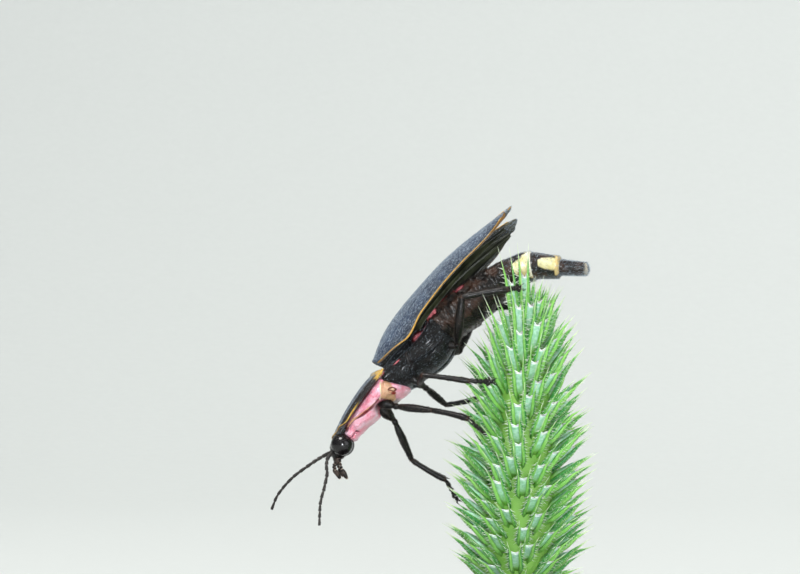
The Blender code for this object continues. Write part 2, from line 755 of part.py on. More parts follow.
def make_stand():
    edge = STAND_BASE_HEIGHT - STAND_EDGE
    base = [(0, STAND_BASE_RADIUS), (edge, STAND_BASE_RADIUS)]
    base.append((STAND_BASE_HEIGHT, STAND_BASE_RADIUS - STAND_EDGE))
    turned("stand_base", 0, 0, base, 64, finish_of("stand_board", (0.03, 0.03, 0.032), 0.4))
    rod = [(STAND_BASE_HEIGHT + GAP, STAND_ROD_RADIUS), (STAND_ROD_TOP, STAND_ROD_RADIUS)]
    steel = finish_of("stand_steel", (0.6, 0.6, 0.6), 0.3, 1.0)
    turned("stand_rod", *SPIKE_FOOT[:2], rod, 16, steel)


start_scene()
make_pronotum()
make_trunk()
make_wings()
make_head()
make_eye("eye_left", 1)
make_eye("eye_right", -1)
make_mouth()
for feeler in ANTENNAE:
    antenna(feeler)
make_legs()
make_perch()
make_stand()
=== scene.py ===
# %% [markdown]
# # A firefly on a seed head
#
# A still, life-size firefly of about 18 mm climbs head down on a cut length of meadow grass on a
# round base. This lesson loads its packed solids as a fixed frame, builds a finer piece over each
# and gives every surface a material of nodes. Sizes are in millimetres and scaled once.

# %% Load the frame
import math

import bpy
import numpy as np
from mathutils import Matrix


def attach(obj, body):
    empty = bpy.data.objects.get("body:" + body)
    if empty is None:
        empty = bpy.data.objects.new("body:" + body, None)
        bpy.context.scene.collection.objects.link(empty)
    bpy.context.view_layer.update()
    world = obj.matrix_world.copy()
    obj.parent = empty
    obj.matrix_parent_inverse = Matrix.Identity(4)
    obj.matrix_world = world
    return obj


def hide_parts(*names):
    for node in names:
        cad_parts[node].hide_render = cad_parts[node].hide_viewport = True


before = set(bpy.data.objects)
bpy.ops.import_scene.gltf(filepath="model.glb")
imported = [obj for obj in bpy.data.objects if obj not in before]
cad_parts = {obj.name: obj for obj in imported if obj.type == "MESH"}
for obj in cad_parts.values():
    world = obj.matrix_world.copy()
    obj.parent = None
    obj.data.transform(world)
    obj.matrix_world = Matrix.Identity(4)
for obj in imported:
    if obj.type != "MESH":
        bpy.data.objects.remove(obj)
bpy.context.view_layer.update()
MM = 0.001

# %% [markdown]
# ## Sums on sockets
#
# A node tree is hard to read one call at a time. A small class can wrap a socket and overload the
# operators, so that `1 - mask * 0.5` adds its own Math nodes. The reflected forms, such as
# __rsub__, let the number stand first. Every other node comes from one method, `node`.


# %% A socket that does sums
def plug(tree, socket, value):
    """Links a wire to a socket, or writes a plain value into it."""
    if isinstance(value, Wire):
        tree.links.new(value.socket, socket)
    else:
        socket.default_value = (*value, 1) if socket.type == "RGBA" else value


def sign(operation, flip=False):
    """A method that adds one Math node. Flipped, the other value comes first."""

    def method(self, other):
        pair = (other, self) if flip else (self, other)
        return self.owner.node("ShaderNodeMath", dict(enumerate(pair)), operation=operation)

    return method


class Wire:
    """An output socket that can stand in a sum."""

    def __init__(self, owner, socket):
        self.owner, self.socket = owner, socket

    __add__ = __radd__ = sign("ADD")
    __mul__ = __rmul__ = sign("MULTIPLY")
    __sub__, __rsub__ = sign("SUBTRACT"), sign("SUBTRACT", flip=True)
    __truediv__, __rtruediv__ = sign("DIVIDE"), sign("DIVIDE", flip=True)
    __pow__, at_least, at_most = sign("POWER"), sign("MAXIMUM"), sign("MINIMUM")

    def size(self):
        return self.owner.node("ShaderNodeMath", {0: self}, operation="ABSOLUTE")

    def rises(self, low, high):
        """0 below the first value, 1 above the second and a smooth step between."""
        values = {"Value": self, "From Min": low, "From Max": high}
        return self.owner.node("ShaderNodeMapRange", values, interpolation_type="SMOOTHSTEP")

    def falls(self, low, high):
        return 1 - self.rises(low, high)

    def near(self, middle, inside, outside):
        """1 about a value, fading between two distances from it."""
        return (self - middle).size().falls(inside, outside)


print("operators:", [name for name in vars(Wire) if name.startswith("__r")])


# %% A tree that makes every kind of node
class Tree:
    """A node tree with one method for every kind of node."""

    def __init__(self, tree):
        self.tree = tree

    def make(self, kind, values=None, **settings):
        node = self.tree.nodes.new(kind)
        for name, setting in settings.items():
            setattr(node, name, setting)
        for key, value in (values or {}).items():
            plug(self.tree, node.inputs[key], value)
        return node

    def node(self, kind, values=None, out=0, **settings):
        return Wire(self, self.make(kind, values, **settings).outputs[out])

    def vector(self, operation, *values, out=0):
        return self.node("ShaderNodeVectorMath", dict(enumerate(values)), out, operation=operation)


print("a tree can", [name for name in vars(Tree) if name[0] != "_"])

# %% [markdown]
# ## Materials
#
# Every finish is a Principled shader. Values that are even, such as sheen, sit on its own sockets.
# What changes comes through nodes, from Object coordinates in metres or the piece's UV map: a noise
# scale of 5000 makes spots of a fifth of a millimetre.


# %% A finish made of nodes
def tone(colour):
    """A linear colour from display values of 0 to 255. A wire stays as it is."""
    if isinstance(colour, Wire):
        return colour
    display = (c / 255 for c in colour)
    return tuple(c / 12.92 if c <= 0.04045 else ((c + 0.055) / 1.055) ** 2.4 for c in display)


class Finish(Tree):
    """A named material whose patterns are written as sums."""

    def __init__(self, name, **even):
        self.material = bpy.data.materials.new(name)
        self.material.use_nodes = True
        super().__init__(self.material.node_tree)
        self.shader = self.tree.nodes["Principled BSDF"]
        self.give(**even)

    def give(self, **values):
        for name, value in values.items():
            plug(self.tree, self.shader.inputs[name.replace("_", " ")], value)

    def wear(self, colour, roughness, height, depth, **more):
        """Colour, roughness and a relief of the height times the depth, in millimetres."""
        values = {"Height": height, "Distance": depth * MM, "Strength": 1.0}
        normal = self.node("ShaderNodeBump", values)
        self.give(Base_Color=tone(colour), Roughness=roughness, Normal=normal, **more)

    def lie(self, name="Lie"):
        """The two numbers of a UV map: across, and along in millimetres."""
        made = self.make("ShaderNodeSeparateXYZ", {0: self.node("ShaderNodeUVMap", uv_map=name)})
        return [Wire(self, socket) for socket in made.outputs[:2]]

    def own(self, name):
        """A number that each vertex carries."""
        return self.node("ShaderNodeAttribute", out="Fac", attribute_name=name)

    def place(self):
        return self.node("ShaderNodeTexCoord", out="Object")

    def noise(self, scale, detail, place=None):
        values = {"Vector": place or self.place(), "Scale": scale, "Detail": detail}
        return self.node("ShaderNodeTexNoise", values)

    def cells(self, scale, **settings):
        values = {"Vector": self.place(), "Scale": scale}
        return self.node("ShaderNodeTexVoronoi", values, **settings)

    def mix(self, share, first, second):
        values = {0: share, 6: tone(first), 7: tone(second)}
        return self.node("ShaderNodeMix", values, out=2, data_type="RGBA")

    def layers(self, colour, *coats):
        """Lays colours over the first one, each as far as its mask says."""
        for mask, over in coats:
            colour = self.mix(mask, colour, over)
        return colour


print("mid grey is", round(tone((128, 128, 128))[0], 3), "in linear light")

# %% [markdown]
# ## Lines through the beetle
#
# The beetle is rolled by 14 degrees, so that its belly turns to the viewer. The lines that its
# body follows lie in its flat middle plane, as x and z, in the same rows as the solids have.
# Curve objects could carry them, but arrays let each surface be a sum.

# %% The middle plane
ROLL, HEADING = math.radians(14), math.radians(48.7)
PLANE_HEIGHT = 14.0
DEPTH = np.array((0.0, 1.0, 0.0))
FLAT_UP = np.array((-math.sin(HEADING), 0, math.cos(HEADING)))
LEFT = FLAT_UP * math.sin(ROLL) - DEPTH * math.cos(ROLL)


def in_plane(x, z):
    """Points of the middle plane with this x and z."""
    flat = np.stack([x, 0 * np.asarray(x), z], -1)
    return flat + ((flat @ FLAT_UP - PLANE_HEIGHT) * math.tan(ROLL))[..., None] * DEPTH


print("the beetle's left is", np.round(LEFT, 3))


# %% Directions, smooth lines and rings
def unit(vectors):
    vectors = np.asarray(vectors, float)
    return vectors / np.linalg.norm(vectors, axis=-1, keepdims=True)


def smooth(rows, t):
    """The smooth curve through evenly numbered rows, at each t from 0 to 1."""
    rows = np.array(rows, float)
    rows = rows[:, None] if rows.ndim == 1 else rows
    place = np.clip(np.asarray(t, float), 0, 1) * (len(rows) - 1)
    i = np.clip(place.astype(int), 0, len(rows) - 2)
    f = (place - i)[..., None]
    ends = np.vstack([2 * rows[0] - rows[1], rows, 2 * rows[-1] - rows[-2]])
    p0, p1, p2, p3 = (ends[i + k] for k in range(4))
    bend = (2 * p0 - 5 * p1 + 4 * p2 - p3) * f**2
    return 0.5 * (2 * p1 + (p2 - p0) * f + bend + (3 * (p1 - p2) - p0 + p3) * f**3)


def between(x, places, table):
    """The rows of a table whose places are known, read at x."""
    return np.stack([np.interp(x, places, column) for column in table.T], -1)


def lengths_along(points):
    return np.concatenate([[0], np.cumsum(np.linalg.norm(np.diff(points, axis=0), axis=1))])


def turns_of(sides):
    return 2 * math.pi * np.arange(sides) / sides


def circle(turns, first, second):
    """Points of a ring that turns from one direction to another."""
    return np.cos(turns)[:, None] * first + np.sin(turns)[:, None] * second


print("halfway between rows of 0, 0, 1 and 1:", smooth([0, 0, 1, 1], 0.5))


# %% The axes of the body and of the wing cases
class Axis:
    """A smooth line in the middle plane, measured along its own length."""

    def __init__(self, rows):
        table = smooth(rows, np.linspace(0, 1, 801))
        self.points, self.extra = in_plane(table[:, 0], table[:, 1]), table[:, 2:]
        self.lengths = lengths_along(self.points)
        self.length = self.lengths[-1]
        self.back = unit(np.gradient(self.points, axis=0))

    def at(self, distance, table):
        return between(distance, self.lengths, table)

    def point(self, distance, left=0.0, up=0.0):
        """Points beside the line, which runs straight on past its ends."""
        distance, left, up = (np.asarray(v, float)[..., None] for v in (distance, left, up))
        back = unit(self.at(distance[..., 0], self.back))
        past = distance - np.clip(distance, 0, self.length)
        start = self.at(distance[..., 0], self.points) + back * past
        return start + LEFT * left + np.cross(LEFT, back) * up


# x, z, half width, height above and height below, from the neck to the tip of the abdomen
SPINE = np.reshape([
    -5.2, 15.25, 0.9, 0.45, 0.4, -4.45, 16.45, 1.3, 0.5, 0.66, -3.45, 17.85, 1.75, 0.5, 1.04,
    -2.4, 18.95, 1.75, 0.95, 1.25, -0.74, 20.42, 1.95, 1.2, 1.45, 0.22, 21.76, 1.9, 1.25, 1.3,
    1.6, 22.9, 1.85, 1.3, 1.35, 3.1, 24.05, 1.75, 1.12, 1.12, 4.5, 24.92, 1.55, 0.93, 0.93,
    5.5, 25.3, 1.4, 0.86, 0.86, 6.6, 25.27, 1.1, 0.68, 0.68, 8.9, 25.12, 0.6, 0.4, 0.4,
], (-1, 5))
SEAM = [(-4.02, 19.5), (-3.3, 21.5), (-1.75, 23.72), (0.66, 26.2), (4.25, 28.7)]
BODY_AXIS, CASE_AXIS = Axis(SPINE), Axis(SEAM)
print("body axis", round(BODY_AXIS.length, 2), "mm, wing cases", round(CASE_AXIS.length, 2), "mm")

# %% [markdown]
# ## From points to meshes
#
# Most pieces are grids: rows of points along the piece, each running round or across it. Modifiers
# could loft some of them, but an array also says where each point lies. So a helper makes it a
# closed mesh with a UV map named Lie, which counts across from 0 to 1 and along in millimetres.
# Where the volume comes out negative, the faces are turned outwards.


# %% Meshes from arrays
def carry(mesh, **numbers):
    """Gives each vertex its own numbers or vectors."""
    for key, values in numbers.items():
        values = np.asarray(values, np.float32).ravel()
        vector = len(values) > len(mesh.vertices)
        layer = mesh.attributes.new(key, "FLOAT_VECTOR" if vector else "FLOAT", "POINT")
        layer.data.foreach_set("vector" if vector else "value", values)
    return mesh


def mesh_from(points, faces, corners=None, **numbers):
    """A mesh in metres, with corner UVs for the Lie map and numbers for each vertex."""
    mesh = bpy.data.meshes.new("mesh")
    mesh.from_pydata((np.asarray(points) * MM).tolist(), [], faces)
    if corners is not None:
        lie = mesh.uv_layers.new(name="Lie")
        lie.data.foreach_set("uv", np.asarray(corners, np.float32).ravel())
    mesh.shade_smooth()
    return carry(mesh, **numbers)


def read(things, key, width, kind=float):
    """One value or vector of every element, as rows."""
    values = np.empty(len(things) * width, kind)
    things.foreach_get(key, values)
    return values.reshape(-1, width)


def volume(mesh):
    mesh.calc_loop_triangles()
    triangles = read(mesh.loop_triangles, "vertices", 3, int)
    a, b, c = read(mesh.vertices, "co", 3)[triangles].transpose(1, 0, 2)
    return float(np.einsum("ij,ij->i", a, np.cross(b, c)).sum() / 6)


def outwards(mesh):
    if volume(mesh) < 0:
        mesh.flip_normals()
    return mesh


print("helpers for any mesh:", [maker.__name__ for maker in (carry, mesh_from, outwards)])


# %% Closed hoops and closed plates
def cells_of(grid):
    """The four corners of each cell of a grid."""
    return np.stack([grid[:-1, :-1], grid[:-1, 1:], grid[1:, 1:], grid[1:, :-1]], 2)


def hoop_mesh(rings, along=None, **numbers):
    """A closed mesh through rings of equal count: rows x sides x 3, in millimetres."""
    rings = np.asarray(rings, float)
    rows, sides = rings.shape[:2]
    along = lengths_along(rings.mean(1)) if along is None else along
    index = np.pad(np.arange(rows * sides).reshape(rows, sides), ((0, 0), (0, 1)), "wrap")
    across = np.arange(sides + 1) / sides
    faces = cells_of(index).reshape(-1, 4).tolist()
    corners = [*cells_of(np.stack(np.meshgrid(across, along), -1)).reshape(-1, 2)]
    for row, way in ((0, -1), (-1, 1)):
        ends = zip(index[row, :-1].tolist(), index[row, 1:].tolist())
        faces += [(*pair[::way], rows * sides - row) for pair in ends]
        corners += [(p / sides, along[row]) for k in range(sides) for p in (k, k + 1, k + 0.5)]
    points = np.vstack([rings.reshape(-1, 3), rings[0].mean(0), rings[-1].mean(0)])
    flat = {key: np.ravel(values) for key, values in numbers.items()}
    numbers = {key: [*values, values[0], values[-1]] for key, values in flat.items()}
    return outwards(mesh_from(points, faces, corners, **numbers))


def plate_mesh(upper, lower):
    """A closed plate between two grids of rows x columns x 3, whose edges are joined."""
    rows, columns = upper.shape[:2]
    count = rows * columns
    index = np.arange(count).reshape(rows, columns)
    quads = cells_of(index).reshape(-1, 4)
    faces = np.vstack([quads, quads[:, ::-1] + count]).tolist()
    edge = [*index[0, :-1], *index[:-1, -1], *index[-1, :0:-1], *index[:0:-1, 0]]
    for p, q in zip(edge, edge[1:] + edge[:1]):
        faces.append((int(q), int(p), int(p) + count, int(q) + count))
    along = lengths_along(upper[:, columns // 2])
    lie = np.stack(np.meshgrid(np.linspace(0, 1, columns), along), -1).reshape(-1, 2)
    corners = [lie[k % count] for face in faces for k in face]
    points = np.vstack([upper.reshape(-1, 3), lower.reshape(-1, 3)])
    return outwards(mesh_from(points, faces, corners, Under=[0] * count + [1] * count))


print("a grid of 3 by 4 points has", cells_of(np.zeros((3, 4)))[..., 0].size, "cells")


# %% Hand a piece to the frame
def put(name, data):
    """A new object in the scene."""
    thing = bpy.data.objects.new(name, data)
    bpy.context.scene.collection.objects.link(thing)
    return thing


def piece(name, mesh, finish, slot, *nodes):
    """Puts a finished piece in the scene and hands it to the frame."""
    thing = put(name, mesh)
    mesh.name = name
    mesh.materials.clear()
    mesh.materials.append(finish.material)
    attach(thing, "root")
    if nodes:
        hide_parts(*nodes)
    mesh.calc_loop_triangles()
    size = np.round(np.ptp(np.array(thing.bound_box), 0) / MM, 1)
    print(name, len(mesh.loop_triangles), "triangles", size, "mm")
    return thing


# %% [markdown]
# ## Camera, floor and light
#
# The photograph is a close side view through a long lens, level with the beetle, so the camera
# stands 280 mm off and its frame is 48 mm wide. Floor and wall are one pale sheet that curves up,
# to hide where they meet. Wide soft panels light it, as a sharp lamp glints on black shell.

# %% Place the camera
CAMERA_DISTANCE, SENSOR = 280.0, 36.0
FRAME_WIDTH = 48.0
FRAME_MIDDLE = (-2.4, 24.06)
lens = bpy.data.cameras.new("camera")
lens.sensor_width, lens.clip_start = SENSOR, 0.01
lens.lens = SENSOR * CAMERA_DISTANCE / FRAME_WIDTH
camera = put("camera", lens)
camera.location = (FRAME_MIDDLE[0] * MM, -CAMERA_DISTANCE * MM, FRAME_MIDDLE[1] * MM)
camera.rotation_euler = (math.pi / 2, 0, 0)
bpy.context.scene.camera = camera
print("focal length", round(lens.lens), "mm")

# %% Lay the pale sheet
paper = Finish("pale_paper", Specular_IOR_Level=0.0)
grain = paper.noise(900, 4)
paper.wear(paper.mix(grain * 0.5, (214, 218, 216), (206, 210, 208)), 0.9, grain, 0.02)
SHEET_HALF, SHEET_FRONT, SHEET_BACK, SHEET_BEND, SHEET_TOP = 1400, -1400, 500, 260, 1200
SHEET_DROP = 0.02


def sheet_bend(middle, direction):
    """Points of a quarter circle from the floor up, that bends away from the middle."""
    turns = np.linspace(0, math.pi / 2, 13)
    reach, high = SHEET_BEND * np.sin(turns), SHEET_BEND * (1 - np.cos(turns))
    return list(zip(middle + direction * reach, high))


front = [(SHEET_FRONT, SHEET_TOP), *reversed(sheet_bend(SHEET_FRONT + SHEET_BEND, -1))]
profile = [*front, *sheet_bend(SHEET_BACK - SHEET_BEND, 1), (SHEET_BACK, SHEET_TOP)]
points = [(x, y, z - SHEET_DROP) for y, z in profile for x in (-SHEET_HALF, SHEET_HALF)]
faces = [(2 * k, 2 * k + 1, 2 * k + 3, 2 * k + 2) for k in range(len(profile) - 1)]
floor = put("pale_floor", mesh_from(points, faces))
floor.data.materials.append(paper.material)
print("floor of", len(faces), "strips")

# %% Hang the soft panels
BEETLE = (0, 0, 19)
LAMPS = {  # place, width, power, colour and target
    "key": ((-120, -190, 460), 200, 2.0, (1.0, 0.98, 0.95), BEETLE),
    "front": ((12, -300, 40), 64, 0.55, (0.92, 0.96, 1.0), BEETLE),
    "fill": ((420, -380, 140), 380, 0.75, (0.93, 0.97, 1.0), BEETLE),
    "rim": ((160, 300, 380), 300, 1.0, (1.0, 1.0, 0.98), BEETLE),
    "wall": ((0, 100, 560), 500, 0.5, (1.0, 1.0, 1.0), (0, 420, 120)),
}
for name, (spot, width, power, colour, target) in LAMPS.items():
    panel = bpy.data.lights.new(name, "AREA")
    panel.shape, panel.size, panel.energy, panel.color = "DISK", width * MM, power, colour
    back = unit(np.array(spot) - target)
    across = unit(np.cross(DEPTH, back))
    columns = np.stack([across, np.cross(back, across), back, np.array(spot) * MM], 1)
    put(name, panel).matrix_world = Matrix([*columns.tolist(), (0, 0, 0, 1)])
world = bpy.data.worlds.new("room")
world.use_nodes = True
sky = world.node_tree.nodes["Background"].inputs
sky["Color"].default_value, sky["Strength"].default_value = (0.92, 0.96, 1.0, 1), 0.16
bpy.context.scene.world = world
bpy.context.scene.view_settings.view_transform = "Standard"
print("lamps:", list(LAMPS))

# %% [markdown]
# ## The black shell
#
# The underside, the head and the legs are glossy black, with wrinkles, pits that each hold a hair,
# and brown where the shell is thin. A clear coat gives the wet look, and two sizes of noise keep
# its highlights from looking like plastic.

# %% Black cuticle
def black_cuticle(name, gloss=0.22, **even):
    """A black shell whose thin places turn brown."""
    shell = Finish(name, Specular_IOR_Level=0.3, Coat_Weight=0.15, **even)
    broad, fine = shell.noise(1800, 4), shell.noise(14000, 4)
    thin = shell.mix(broad.rises(0.52, 0.78) * 0.35, (9, 8, 9), (60, 32, 20))
    pits = shell.cells(9000).rises(0.05, 0.35)
    shell.wear(thin, gloss + fine * 0.2, fine * 0.5 + pits * 0.5 + broad, 0.035)
    return shell


SHELL = black_cuticle("black_cuticle", Coat_Roughness=0.12)
print("made", SHELL.material.name)

# %% [markdown]
# ## The trunk
#
# The trunk is one form from neck to tail, whose plates are low bulges and grooves. It could be
# sculpted by hand. Here each region is a grid round the axis, raised by a sum of two numbers: the
# distance s along the axis, and the side angle psi, which is -90 degrees under the belly, 0 at
# either flank and 90 on the back.

# %% A length of trunk
POWER = 2.2


def side_angle(turns):
    """Degrees for turns of 0 to 1, which start at the back."""
    return np.abs(turns - 0.5) * 360 - 90


def trunk_points(distance, turns, raised=0.0):
    """Points round the axis, raised out of the oval of the body."""
    angle = math.pi / 2 - 2 * math.pi * turns
    wide, above, below = np.moveaxis(BODY_AXIS.at(distance, BODY_AXIS.extra), -1, 0)
    across, high = (np.sign(v) * np.abs(v) ** (2 / POWER) for v in (np.cos(angle), np.sin(angle)))
    reach = np.where(high > 0, above, below)
    out = unit(np.stack([across / wide, high / reach], -1)) * np.asarray(raised)[..., None]
    return BODY_AXIS.point(distance, across * wide + out[..., 0], high * reach + out[..., 1])


def hill(value, middle, width):
    return np.exp(-(((value - middle) / width) ** 2))


def step(value, low, high):
    t = np.clip((value - low) / (high - low), 0, 1)
    return t * t * (3 - 2 * t)


def lumps(s, psi, seed):
    """Smooth unevenness between about -1 and 1, from nine waves in random directions."""
    rng = np.random.default_rng(seed)
    total = 0
    for _ in range(9):
        fast, slant, shift = rng.uniform(3, 11), rng.uniform(-0.16, 0.16), rng.uniform(0, 6.3)
        total = total + np.sin(s * fast + psi * slant + shift)
    return total / 3


def trunk_mesh(start, end, relief, rows=90, sides=160, lip=0.12):
    """A closed length of trunk. Start may be a function of the side angle, and so may end."""
    turns = np.arange(sides) / sides
    psi = side_angle(turns)
    first, last = (v(psi) if callable(v) else np.full(sides, float(v)) for v in (start, end))
    distance = first + (last - first) * np.linspace(0, 1, rows)[:, None]
    edge = np.minimum(distance - first, last - distance)
    raised = relief(distance, np.broadcast_to(psi, distance.shape))
    raised = raised - lip * step(edge, lip * 1.4, -0.01)
    raised = np.vstack([raised[:1] - 3 * lip, raised, raised[-1:] - 3 * lip])
    distance = np.vstack([distance[:1], distance, distance[-1:]])
    return hoop_mesh(trunk_points(distance, turns, raised), distance.mean(1))


print("flank angle at a quarter turn:", side_angle(0.25))

# %% [markdown]
# ## The rose prothorax
#
# Under the shield the front of the thorax is rose pink. Each flank has a smooth plate above and
# the breast plate below, with a brown crease between that is darkened partly by painted shade.
# Behind the front hips stand a tan plate with the breathing hole and a pink lobe. Painting would
# need an image, so the creases are sums that cut the form, and the same sums in nodes colour it.
# The shade under the shield, in the hip hollow and in the slit is painted, and so is a highlight
# on the plate's rear edge.

# %% Shape the prothorax
CREASE = ([0.2, 0.62, 1.7, 2.4, 3.2, 4.0], [40, 22, -24, -33, -36, -40])
HIP_HOLLOW, SPIRACLE = (2.35, -72), (3.45, -38)
SLIT = (0.2, -38)  # where it bends


def plate_edge(psi):
    """How far back the flank plate reaches at a side angle."""
    return 3.46 + (psi + 5) * 0.029


def lobe_edge(psi):
    """Where the tan plate ends and the hind lobe begins."""
    return 3.68 + (psi + 36) * 0.02


def prothorax_relief(s, psi):
    crease = np.interp(s, *CREASE)
    raised = 0.1 * hill(psi, crease + 30, 26) * step(s, -0.1, 0.5) * step(s, 3.4, 2.9)
    raised += 0.12 * hill(psi, crease - 34, 30) * step(s, 0.1, 0.6) * step(s, 2.1, 1.7)
    raised -= 0.15 * hill(psi, crease, 5) * step(s, 2.9, 2.5)
    raised += 0.05 * hill(psi, crease + 7, 3) * step(s, 2.6, 2.2)
    raised -= 0.35 * hill(s, HIP_HOLLOW[0], 0.42) * hill(psi, HIP_HOLLOW[1], 28)
    raised -= 0.12 * hill(s, plate_edge(psi) + 0.12, 0.08) * step(psi, -45, -25) * step(psi, 6, -4)
    raised += 0.1 * step(s, lobe_edge(psi), lobe_edge(psi) + 0.15) * step(psi, -20, -50)
    ring = np.hypot(s - SPIRACLE[0], (psi - SPIRACLE[1]) / 52)
    raised += 0.07 * hill(ring, 0.17, 0.05) - 0.1 * hill(ring, 0, 0.11)
    slit = hill(psi, SLIT[1], 5) * step(s, SLIT[0] + 0.1, SLIT[0])
    slit = np.maximum(slit, hill(s, SLIT[0], 0.07) * hill(psi, SLIT[1] - 13, 13))
    return raised - 0.2 * slit + 0.015 * np.sin(s * 9 + psi * 0.07) * np.sin(psi * 0.11) - 0.02


def ring_seam(start, reach):
    """Where two rings of the thorax meet, further back under the belly."""
    return lambda psi: start + reach * step(psi, 10, -85)


trunk_front = trunk_mesh(-0.35, ring_seam(3.65, 0.8), prothorax_relief, 110)
print("prothorax holds", round(volume(trunk_front) / MM**3, 1), "cubic mm")

# %% Where the crease lies on the skin
def side_of(finish):
    """The distance along the axis and the side angle, from the Lie map."""
    u, s = finish.lie()
    return s, (u - 0.5).size() * 360 - 90


rose = Finish("rose_skin", Subsurface_Weight=0.25, Specular_IOR_Level=0.45, Coat_Weight=0.35)
rose.shader.subsurface_method = "BURLEY"
rose.give(Subsurface_Radius=(0.4, 0.12, 0.1), Subsurface_Scale=0.0004)
s, psi = side_of(rose)
crease = rose.node("ShaderNodeFloatCurve", {"Factor": 1.0, "Value": s / 4.0})
mapping = crease.socket.node.mapping
spots = [(place / 4.0, (angle + 60) / 120) for place, angle in zip(*CREASE)]
for k, spot in enumerate(spots):
    if k < 2:
        mapping.curves[0].points[k].location = spot
    else:
        mapping.curves[0].points.new(*spot)
mapping.update()
above = psi - (crease * 120 - 60)
print("the crease runs through", len(spots), "places")

# %% Rose skin
mottle, fine = rose.noise(1500, 4), rose.noise(9000, 3)
stray = mottle - 0.5
rag = (fine - 0.5) * 0.12 + stray * 0.2
pink = rose.mix(mottle.rises(0.35, 0.7), (250, 150, 172), (255, 208, 224))
# the dark red crease is partly its own colour and partly painted shade in the crease
fold = (above + stray * 12).size().falls(3, 10) * s.falls(2.5, 2.9)
lip = (above - 9 + stray * 8).size().falls(1.5, 4) * s.falls(1.9, 2.4)
# painted shade: the top of the flank, under the shield's edge, turns brown
top = (above - 54 + stray * 20).rises(-6, 8)
# painted shade: dark red in the hollow by the front hip
hollow = s.near(HIP_HOLLOW[0], 0.35, 0.85) * psi.near(HIP_HOLLOW[1], 20, 48)
behind = (s - plate_edge(psi) + rag).rises(0.02, 0.08) * (lobe_edge(psi) - s + rag).rises(0, 0.12)
behind = behind * psi.falls(-6, 2) * (psi + rag * 60).rises(-84, -72) * s.rises(2.55, 2.7)
olive = rose.mix(mottle.rises(0.3, 0.7), (176, 136, 92), (222, 176, 134))
blot = (((s - 3.2) / 0.18) ** 2 + ((psi + 50) / 7) ** 2) ** 0.5
ring = ((s - SPIRACLE[0]) ** 2 + ((psi - SPIRACLE[1]) / 52) ** 2) ** 0.5
rim = ring + rag * 0.3
# painted shade: the slit and its hook are nearly black red inside
cut = psi.near(SLIT[1], 3, 7) * s.falls(SLIT[0], SLIT[0] + 0.06)
hook = s.near(SLIT[0], 0.03, 0.09) * psi.falls(SLIT[1], SLIT[1] + 6) * psi.rises(-66, -54)
# a pale line along the rear edge of the flank plate, partly its own outline and partly a painted highlight
# on that edge
seam = (s - plate_edge(psi) + rag * 0.4).size().falls(0.03, 0.08)
skin = rose.layers(
    pink, (fine.rises(0.5, 0.8) * 0.5, (226, 84, 106)), (fold * 0.95, (112, 22, 26)),
    (lip * 0.8, (228, 170, 110)), (top * 0.7, (112, 50, 30)), (hollow * 0.9, (70, 16, 20)),
    (behind * 0.9, olive), ((blot + rag * 2).falls(0.5, 1.1), (130, 30, 20)),
    (rim.rises(0.09, 0.13) * rim.falls(0.18, 0.22), (110, 46, 26)),
    (ring.falls(0.08, 0.12), (232, 196, 160)), (cut.at_least(hook), (64, 6, 10)),
    (seam * psi.rises(-42, -34) * psi.falls(0, 8), (250, 240, 200)),
)
rose.wear(skin, 0.3 + fine * 0.2, mottle * 2 + fine * 0.8, 0.12)
piece("prothorax_skin", trunk_front, rose, "rose_skin", "prothorax")

# %% [markdown]
# ## The black hind thorax
#
# Behind the rose collar two black rings carry the wings and the four hind legs. A large breast
# plate bulges most, with a narrow plate and a seam above it. Pink skin shows in the folds under
# the wing roots. It could be meshes of its own, but soft patches in the shell's material leave no
# edge, and the abdomen shares them.

# %% Pink skin in the folds
# place along the body, side angle, and half of the length and width of each patch
FOLD_SKIN = [(4.1, 30, 0.3, 12), (5.1, 10, 0.26, 3), (7.0, 40, 0.5, 9), (7.7, 30, 0.35, 7),
             (8.5, 34, 0.35, 7), (9.3, 44, 0.5, 8), (10.7, 40, 0.5, 8)]


def fold_skin(finish, colour, s, psi, rag):
    """Lays the soft pink patches, with dark red edges, over a shell's colour."""
    patches = 0.0
    for at, angle, long, wide in FOLD_SKIN:
        reach = (((s - at) / long) ** 2 + ((psi - angle) / wide) ** 2) ** 0.5 + rag
        patches = reach.falls(0.4, 1.3) + patches
    patches = patches.at_most(1.0)
    return finish.layers(
        colour, (patches.rises(0.05, 0.4), (84, 24, 24)), (patches.rises(0.5, 1.0), (214, 112, 120)))


print("patches of pink skin:", len(FOLD_SKIN))


# %% Shape the hind thorax
# height, place along the body and its width, side angle and its width, of each bulge
BULGES = [(0.1, 4.7, 0.55, -20, 26), (-0.08, 4.6, 0.7, -2, 5), (0.1, 4.9, 0.45, -66, 24),
          (0.16, 6.9, 1.0, -62, 34)]


def thorax_relief(s, psi):
    seam = -26 - 6 * (s - 6.8)
    raised = sum(high * hill(s, at, long) * hill(psi, angle, wide)
                 for high, at, long, angle, wide in BULGES)
    raised -= 0.13 * hill(s, 5.45 + 0.012 * (psi + 30), 0.09)
    raised += 0.1 * hill(s, 6.8, 1.1) * hill(psi, seam + 24, 15)
    ridge = 0.1 * hill(psi, seam + 5, 3) - 0.17 * hill(psi, seam, 3)
    raised += ridge * step(s, 5.6, 5.9) * step(s, 8.1, 7.7)
    raised -= 0.1 * hill(psi, -88, 3) * step(s, 5.6, 6.2) + 0.22 * hill(psi, 34, 12) * step(s, 4.2, 5.2)
    return raised - 0.16 * step(s, 7.8, 8.35) * step(psi, 0, -40) - 0.05


